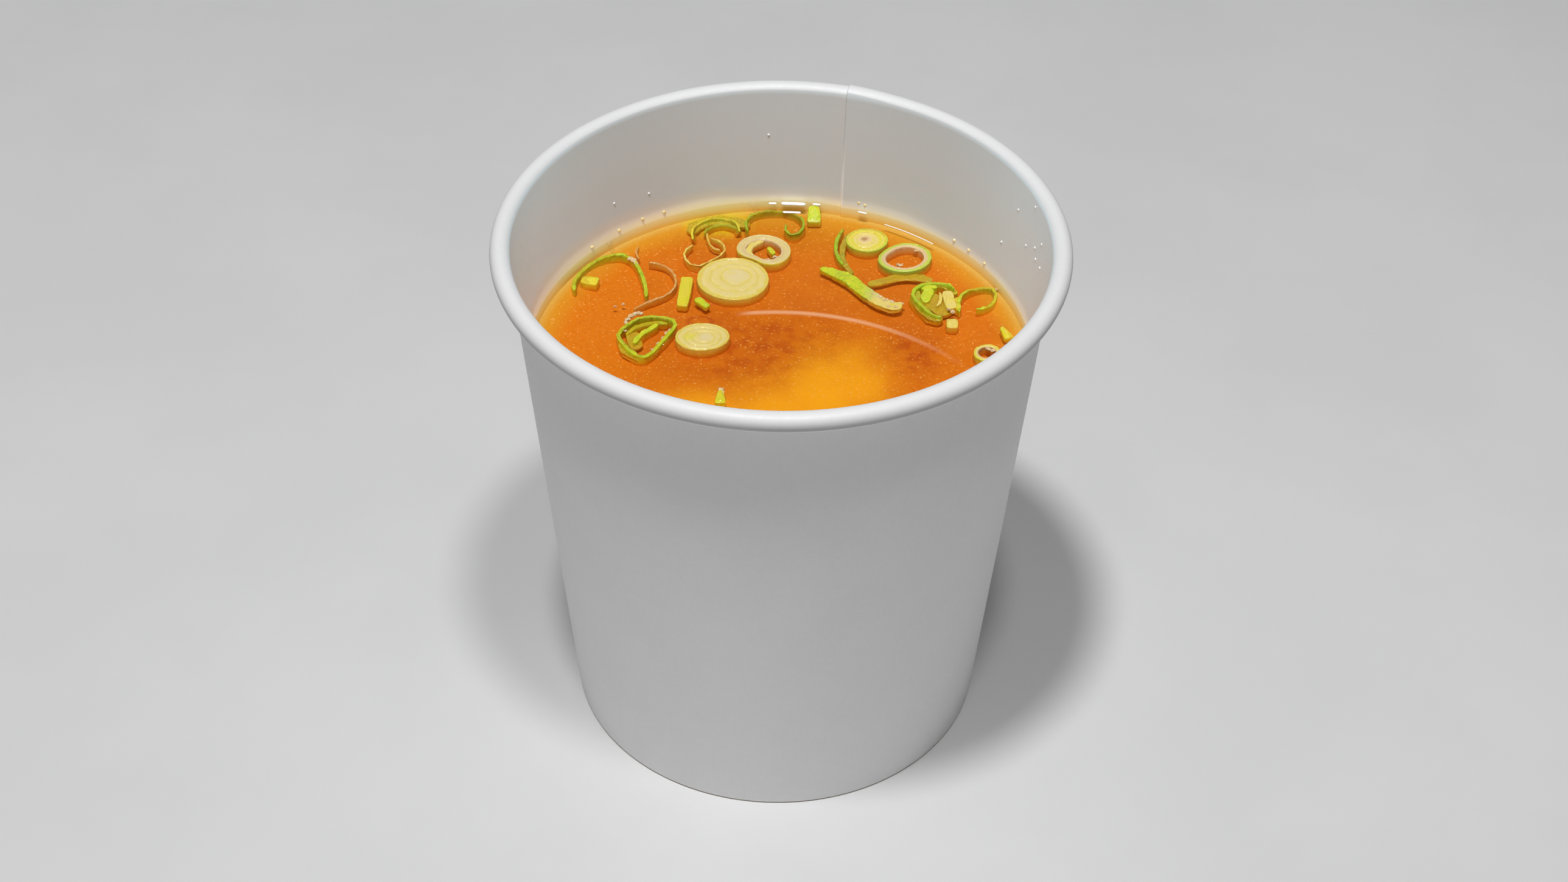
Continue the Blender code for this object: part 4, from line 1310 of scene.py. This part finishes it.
# %% [markdown]
# ### The surface
#
# The clear layer is spun from rings that lie close enough to bend round the onion, and closer still near the
# wall, where the meniscus curves up. Its underside lies inside the cloudy body.

# %% Soup surface
SOUP_SIDES = 480
SKIN_UNDER = 0.8
INNER_STEP = 0.55
INNER_RINGS = 61
OUTER_STEP = 0.3


def surface_height(radius):
    """Height of the liquid with its meniscus at the wall."""
    return SOUP_LEVEL + MENISCUS_RISE * math.exp(-(inner_radius(SOUP_LEVEL) - radius) / MENISCUS_REACH)


ring_radii = [INNER_STEP * i for i in range(INNER_RINGS)]
while ring_radii[-1] < inner_radius(SOUP_LEVEL) - OUTER_STEP:
    ring_radii.append(ring_radii[-1] + OUTER_STEP)
contact = SOUP_LEVEL + MENISCUS_RISE
surface_line = [(r, surface_height(r)) for r in ring_radii] + [(inner_radius(contact), contact)]
surface_line += [(inner_radius(edge_height - SKIN_UNDER), edge_height - SKIN_UNDER)]
surface_line += [(r, body_height(r, below=SKIN_UNDER)) for r in reversed(BODY_RINGS)]
soup_surface = spin_line("soup_surface", surface_line, SOUP_SIDES)
print("the surface has", len(ring_radii), "rings of", SOUP_SIDES, "points")

# %% [markdown]
# ### Round the pieces
#
# Wet onion draws the liquid up its side, in a slope that is steep at the piece and gone a millimetre or two away.
# All floating pieces go into one search tree, and each point of the surface looks there for the nearest one.
# Beside a piece the liquid climbs a little, and under one it is drawn down out of sight.

# %% Climb the floating pieces
PIECE_RISE = 0.34
PIECE_REACH = 0.7
SEARCH = 6.0
SURFACE_ZONE = 0.2
COVERED = 0.12
COVERED_DROP = 0.4

floating = [o for o in bpy.data.objects if o.name.endswith(("_cut", "_soft"))]
floating += floating_shreds


def one_tree(objects):
    """All meshes in one search tree."""
    corners, faces = [], []
    for obj in objects:
        first = len(corners)
        corners += [v.co for v in obj.data.vertices]
        faces += [[first + i for i in p.vertices] for p in obj.data.polygons]
    return BVHTree.FromPolygons(corners, faces)


def climb_pieces(obj):
    """Raise the liquid where it touches what floats in it, and drop it where a piece hides it."""
    tree = one_tree(floating)
    for vert in obj.data.vertices:
        if vert.co.z < (SOUP_LEVEL - SURFACE_ZONE) * MM:
            continue
        spot, normal, _, gap = tree.find_nearest(vert.co, SEARCH * MM)
        if spot is None:
            continue
        inside = (vert.co - spot).dot(normal) < 0
        if inside and gap > COVERED * MM:
            vert.co.z = (SOUP_LEVEL - COVERED_DROP) * MM
        else:
            vert.co.z += PIECE_RISE * MM * math.exp(-gap / (PIECE_REACH * MM))


climb_pieces(soup_surface)
print(len(floating), "pieces lift the liquid")

# %% [markdown]
# ### Broth materials
#
# The body is plain cloudy colour. The surface layer mixes a glossy, lightly tinted shader with a clear one,
# so it shines like water and still lets the onion's sides show. A ramp by depth would need the camera, which
# no material here may look at, so the depth is in the sunk pieces' own colours.

# %% Broth materials
SURFACE_TINT = 0.16


def body_finish():
    finish = Finish("broth_body")
    finish.set(Base_Color=broth_colour(finish, mirror=0.9), Roughness=0.8, IOR=1.3)
    return finish


def surface_finish():
    finish = Finish("broth_surface")
    reach = distance(finish, (0, 0, 0))
    colour = finish.mix(finish.fade(reach, 41.0, 44.0), broth_colour(finish), BROTH_THIN)
    finish.set(Base_Color=colour, Roughness=0.035, IOR=1.36, Specular_IOR_Level=0.35)
    finish.set(Coat_Weight=0.08, Coat_Roughness=0.02)
    clear = finish.node("ShaderNodeBsdfTransparent")
    glossy = Shade(finish, finish.surface.outputs[0])
    blend = finish.node("ShaderNodeMixShader", sockets={0: SURFACE_TINT, 1: clear, 2: glossy})
    finish.tree.links.new(blend.socket, finish.tree.nodes["Material Output"].inputs["Surface"])
    return finish


settle(soup_body, body_finish(), "broth", "soup")
settle(soup_surface, surface_finish(), "broth", "soup", angle=60)

# %% [markdown]
# ## Stage and light
#
# The cup stands on a plain pale floor with faint, wide clouds in it, so that the shadows lie on something.

# %% Floor
FLOOR_SIZE = 6
FLOOR_TONE = tone(222, 222, 222)
FLOOR_CLOUD = tone(208, 208, 209)


def floor_finish():
    finish = Finish("pale_floor")
    clouds = finish.noise(60.0, detail=4.0)
    colour = finish.mix(clouds * 0.25, FLOOR_TONE, FLOOR_CLOUD)
    finish.set(Base_Color=colour, Roughness=0.75)
    return finish


clear_selection()
bpy.ops.mesh.primitive_plane_add(size=FLOOR_SIZE, location=(0, 0, 0))
floor = bpy.context.object
floor.name = "floor"
floor.data.materials.append(floor_finish().owner)
print("floor:", FLOOR_SIZE, "m wide")

# %% [markdown]
# ### Lamps
#
# Two soft lamps hang high in front of the cup, because in the picture the shadows lie close to the foot on both
# sides, and a broad dim one from the left fills the side that faces the camera. The lining above the soup is
# brighter than the orange light from the soup makes it, so a small cool lamp lights the paper and the drops
# alone, by light linking. The camera and the mirrors don't see it.

# %% Lamps
# Name, place in metres, width in metres and power in watts.
LAMPS = (
    ("key_left", (-0.14, -0.24, 1.3), 0.14, 9.4),
    ("key_right", (0.12, -0.30, 1.3), 0.14, 5.0),
    ("front_fill", (-0.7, -1.3, 0.9), 1.2, 1.0),
)
GLOW_PLACE = (0.0, -14.0, 89.0)
GLOW_SIZE = 0.01
GLOW_POWER = 0.016
GLOW_COLOUR = (0.54, 0.84, 1.0)


def add_lamp(name, place, size, power):
    """A round soft lamp that is aimed at the soup."""
    clear_selection()
    bpy.ops.object.light_add(type="AREA", location=place)
    lamp = bpy.context.object
    lamp.name = name
    lamp.data.shape = "DISK"
    lamp.data.size = size
    lamp.data.energy = power
    aim = Vector((0, 0, SOUP_LEVEL * MM)) - Vector(place)
    lamp.rotation_euler = aim.to_track_quat("-Z", "Y").to_euler()


def add_wall_glow():
    """A small cool lamp over the soup that lights the paper and the drops on it alone."""
    clear_selection()
    bpy.ops.object.light_add(type="POINT", location=Vector(GLOW_PLACE) * MM)
    lamp = bpy.context.object
    lamp.name = "wall_glow"
    lamp.data.shadow_soft_size = GLOW_SIZE
    lamp.data.energy = GLOW_POWER
    lamp.data.color = GLOW_COLOUR
    lamp.visible_camera = False
    lamp.visible_glossy = False
    receivers = bpy.data.collections.new("wall_and_drops")
    for obj in (paper_cup, drops, beads):
        receivers.objects.link(obj)
    lamp.light_linking.receiver_collection = receivers


for lamp_values in LAMPS:
    add_lamp(*lamp_values)
add_wall_glow()
print(len(LAMPS) + 1, "lamps")

# %% [markdown]
# ### The room
#
# The room is dim and grey. It is darker behind the cup, where the soup mirrors it at a low angle.

# %% World
ROOM_FRONT = (0.62, 0.62, 0.63)
ROOM_BACK = (0.20, 0.20, 0.21)
ROOM_STRENGTH = 0.09


def light_world():
    """A dim grey room that is darker behind the cup, where the soup mirrors it."""
    world = bpy.data.worlds.new("studio")
    bpy.context.scene.world = world
    finish = Finish("studio", world)
    way = finish.node("ShaderNodeTexCoord", out="Generated")
    split = finish.node("ShaderNodeSeparateXYZ", sockets={0: way}, out=1)
    behind = finish.fade(split, -0.2, 0.7)
    colour = finish.mix(behind, ROOM_FRONT, ROOM_BACK)
    background = finish.tree.nodes["Background"]
    finish.feed(background.inputs["Color"], colour)
    background.inputs["Strength"].default_value = ROOM_STRENGTH


light_world()
bpy.context.scene.view_settings.view_transform = "Standard"
print("room strength", ROOM_STRENGTH)

# %% [markdown]
# ## Last step
#
# The selection is cleared, so that nothing is left selected.

# %% Clear the selection
clear_selection()
